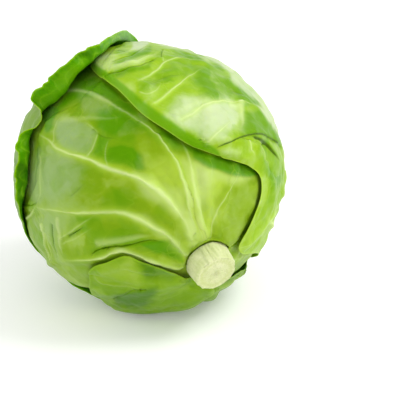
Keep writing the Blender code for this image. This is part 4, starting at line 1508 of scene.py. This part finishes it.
def stalk_material():
    """Cut stump: pale, drying, with fibres along its side and small bundles over the cut face."""
    graph = Graph("stalk_tissue")
    place = graph.add("ShaderNodeTexCoord", {}, "Object")
    cut = graph.stored("cut")
    fine = graph.noise(place, 700.0, 4.0)
    fibres = graph.noise(graph.stored("grain", "Vector"), 1.0, 3.0)
    bundles = graph.add("ShaderNodeTexVoronoi", {"Vector": place, "Scale": 900.0}, "Distance")
    parts = {
        "large": graph.noise(place, 90.0, 3.0),
        "fine": fine,
        "fibres": fibres,
        "dots": graph.math("SUBTRACT", 1.0, graph.band(bundles, 0.15, 0.45)),
    }
    on_cut = graph.math("MULTIPLY", parts["dots"], graph.band(cut, 0.0, 0.05))
    ring = graph.bell(graph.math("SUBTRACT", cut, 0.72), 90.0)
    edge = graph.bell(graph.math("SUBTRACT", cut, 0.99), 900.0)
    colour = graph.mix(graph.band(graph.total(parts, {"large": 1.6, "fine": 0.8}), -0.5, 0.7),
                       shade(196, 205, 140), shade(226, 228, 182))
    for value, amount, coat in (
        (graph.band(fibres, -0.1, 0.35), 0.45, shade(168, 184, 104)),
        (on_cut, 0.35, shade(176, 170, 112)),
        (ring, 0.5, shade(186, 196, 120)),
        (edge, 0.5, shade(170, 140, 88)),
    ):
        colour = graph.mix(graph.math("MULTIPLY", value, amount), colour, coat)
    height = graph.total(parts, {"fibres": 0.5, "fine": 0.25, "dots": 0.08})
    graph.set(Base_Color=colour, Roughness=0.62, Normal=graph.bump(height), Subsurface_Weight=0.15,
              Subsurface_Radius=(0.8, 1.0, 0.4), Subsurface_Scale=0.004)
    return graph.material


# Heart and stalk

def make_heart(material):
    """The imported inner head, with low steps where its own leaves overlap."""
    ball = bmesh.new()
    bmesh.ops.create_icosphere(ball, subdivisions=6, radius=1)
    ball.verts.index_update()
    rays = np.array([vert.co.normalized() for vert in ball.verts])
    faces = [[vert.index for vert in face.verts] for face in ball.faces]
    ball.free()
    low = np.zeros(len(rays))
    near = np.full(len(rays), FAR_AWAY)
    for number, (polar, azimuth, lean) in enumerate(HEART_STEPS):
        wander = STEP_WANDER * ripple(rays, STEP_WANDER_LENGTH, 40 + number)
        distance = (rays @ direction(polar, azimuth) - lean + wander) * HEAD_RADIUS / MM
        low += 0.5 * (1 - np.tanh(distance / STEP_EDGE)) * (1 - ease(distance / -STEP_LENGTH))
        near = np.where(np.abs(distance) < np.abs(near), distance, near)
    sunk = STEP_HEIGHT * low + HEART_SUNK + HEART_RIPPLE * ripple(rays, HEART_RIPPLE_LENGTH, 50)
    radius = globe(rays) - sunk * MM
    points = above_floor(rays * radius[:, None], layers_outside(0, rays)) + CENTRE
    values = {label: np.zeros(len(rays)) for label in ("halo", "tone", "bloom")}
    values["inward"] = np.abs(near)
    return add_mesh("heart_ball", points, faces, [material], values)


def stalk_profile(start):
    """Radius and height of the stump's profile from its hidden end, and the number of the cut's rim."""
    top = start + STALK_LENGTH
    profile = [(0.0, start)]
    profile += [(STALK_RADIUS * share, start) for share in (0.35, 0.7, 0.95)]
    profile.append((STALK_RADIUS, start + 0.0005))
    for share in np.linspace(0.06, 0.94, 22):
        narrowing = STALK_RADIUS + (STALK_CUT_RADIUS - STALK_RADIUS) * share
        profile.append((narrowing, start + STALK_LENGTH * share))
    profile += [(STALK_CUT_RADIUS - 0.0001, top - 0.0005), (STALK_CUT_RADIUS - 0.0006, top - 0.0001)]
    rim = len(profile) - 1
    profile += [(STALK_CUT_RADIUS * share, top) for share in np.linspace(0.93, 0.04, 26)]
    profile.append((0.0, top))
    return profile, rim


def make_stalk(material):
    """The cut stump: turned on the stem axis, ridged by leaf bases, with a slightly hollow cut face."""
    profile, rim = stalk_profile(globe(STEM[None, :])[0] + STALK_GAP)
    turns = np.arange(STALK_TURNS) / STALK_TURNS * 2 * math.pi
    points, cut, grain = [], [], []
    for number, (radius, height) in enumerate(profile):
        for turn in (turns if 0 < number < len(profile) - 1 else turns[:1]):
            wide, sunk = radius, 0.0
            if SIDE_FROM <= number <= rim:
                ridged = SIDE_RIDGE * math.sin(turn * 9 + 1.5 * math.sin(turn * 3))
                ridged += SIDE_FIBRE * math.sin(turn * 31 + height * 400)
                wide = radius - (SIDE_SUNK - ridged)
            elif number > rim:
                share = radius / STALK_CUT_RADIUS
                sunk = CUT_HOLLOW * (1 - share**2)
                sunk += CUT_RING * math.sin(26 * share + 2 * math.sin(3 * turn))
            across = FRONT * wide * math.cos(turn) + SIDE * wide * math.sin(turn)
            points.append(across + STEM * (height - max(sunk, 0)) + CENTRE)
            cut.append(radius / STALK_CUT_RADIUS if number >= rim else 0.0)
            grain.append((turn * 9, height * 60, radius * 300))
    faces = []
    last = 1 + (len(profile) - 3) * STALK_TURNS
    for turn in range(STALK_TURNS):
        after = (turn + 1) % STALK_TURNS
        faces.append((0, 1 + after, 1 + turn))
        for low in range(1, last, STALK_TURNS):
            high = low + STALK_TURNS
            faces.append((low + turn, low + after, high + after, high + turn))
        faces.append((last + turn, last + after, last + STALK_TURNS))
    return add_mesh("stalk_stump", points, faces, [material], {"cut": cut, "grain": grain})


# Stage, lights and camera

def make_floor():
    """Plain pale floor."""
    size = FLOOR_SIZE / 2
    graph = Graph("floor_paper")
    place = graph.add("ShaderNodeTexCoord", {}, "Object")
    soft = graph.band(graph.noise(place, 3.0), -0.5, 0.5)
    graph.set(Base_Color=graph.mix(soft, (0.93, 0.93, 0.93, 1), (0.95, 0.95, 0.95, 1)), Roughness=0.9,
              Emission_Color=WHITE, Emission_Strength=FLOOR_GLOW)
    corners = [(-size, -size, 0), (size, -size, 0), (size, size, 0), (-size, size, 0)]
    floor = add_mesh("floor", corners, [(0, 1, 2, 3)], [graph.material])


def add_light(name, place, size, power):
    """Square area light that faces the head."""
    light = bpy.data.lights.new(name, "AREA")
    light.size = size
    light.energy = power
    lamp = bpy.data.objects.new(name, light)
    lamp.location = place
    lamp.rotation_euler = (Vector(CENTRE) - Vector(place)).to_track_quat("-Z", "Y").to_euler()
    bpy.context.scene.collection.objects.link(lamp)


def make_surroundings():
    """White walls all round, which darken towards the ceiling."""
    world = bpy.data.worlds.new("studio")
    world.use_nodes = True
    tree = world.node_tree
    place = tree.nodes.new("ShaderNodeTexCoord")
    parts = tree.nodes.new("ShaderNodeSeparateXYZ")
    height = tree.nodes.new("ShaderNodeMapRange")
    height.interpolation_type = "SMOOTHSTEP"
    for name, value in (("From Min", WALL_TOP), ("From Max", CEILING_FROM),
                        ("To Min", WALL_BRIGHTNESS), ("To Max", CEILING_BRIGHTNESS)):
        height.inputs[name].default_value = value
    tree.links.new(place.outputs["Generated"], parts.inputs[0])
    tree.links.new(parts.outputs["Z"], height.inputs["Value"])
    tree.links.new(height.outputs[0], tree.nodes["Background"].inputs["Strength"])
    tree.nodes["Background"].inputs["Color"].default_value = WHITE
    return world


def make_stage():
    """Floor, white surroundings, soft lights and the camera of the photograph."""
    scene = bpy.context.scene
    make_floor()
    scene.world = make_surroundings()
    for light in LIGHTS:
        add_light(*light)
    scene.view_settings.view_transform = "Standard"
    camera = bpy.data.cameras.new("camera")
    camera.sensor_width = SENSOR
    camera.lens = SENSOR * CAMERA_DISTANCE / (PHOTO_SIZE * METRES_PER_PIXEL)
    camera.clip_start = 0.01
    eye = bpy.data.objects.new("camera", camera)
    turn = Matrix((RIGHT, UP, TOWARD)).transposed().to_4x4()
    eye.matrix_world = Matrix.Translation(Vector(CAMERA_PLACE)) @ turn
    scene.collection.objects.link(eye)
    scene.camera = eye


def main():
    """Dress every node of the head and set the stage."""
    dressed = {}
    for index, leaf in enumerate(LEAVES):
        short = leaf.name.replace("leaf_", "")
        outer, inner = PALETTES[leaf.name]
        materials = [leaf_material(short + "_outer", outer), leaf_material(short + "_inner", inner)]
        dressed[leaf.name] = make_leaf(index, materials)
    dressed["heart"] = make_heart(leaf_material("heart_tissue", HEART_PALE))
    dressed["stalk"] = make_stalk(stalk_material())
    for node, piece in dressed.items():
        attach(piece, "root")
        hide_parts(node)
    make_stage()


main()
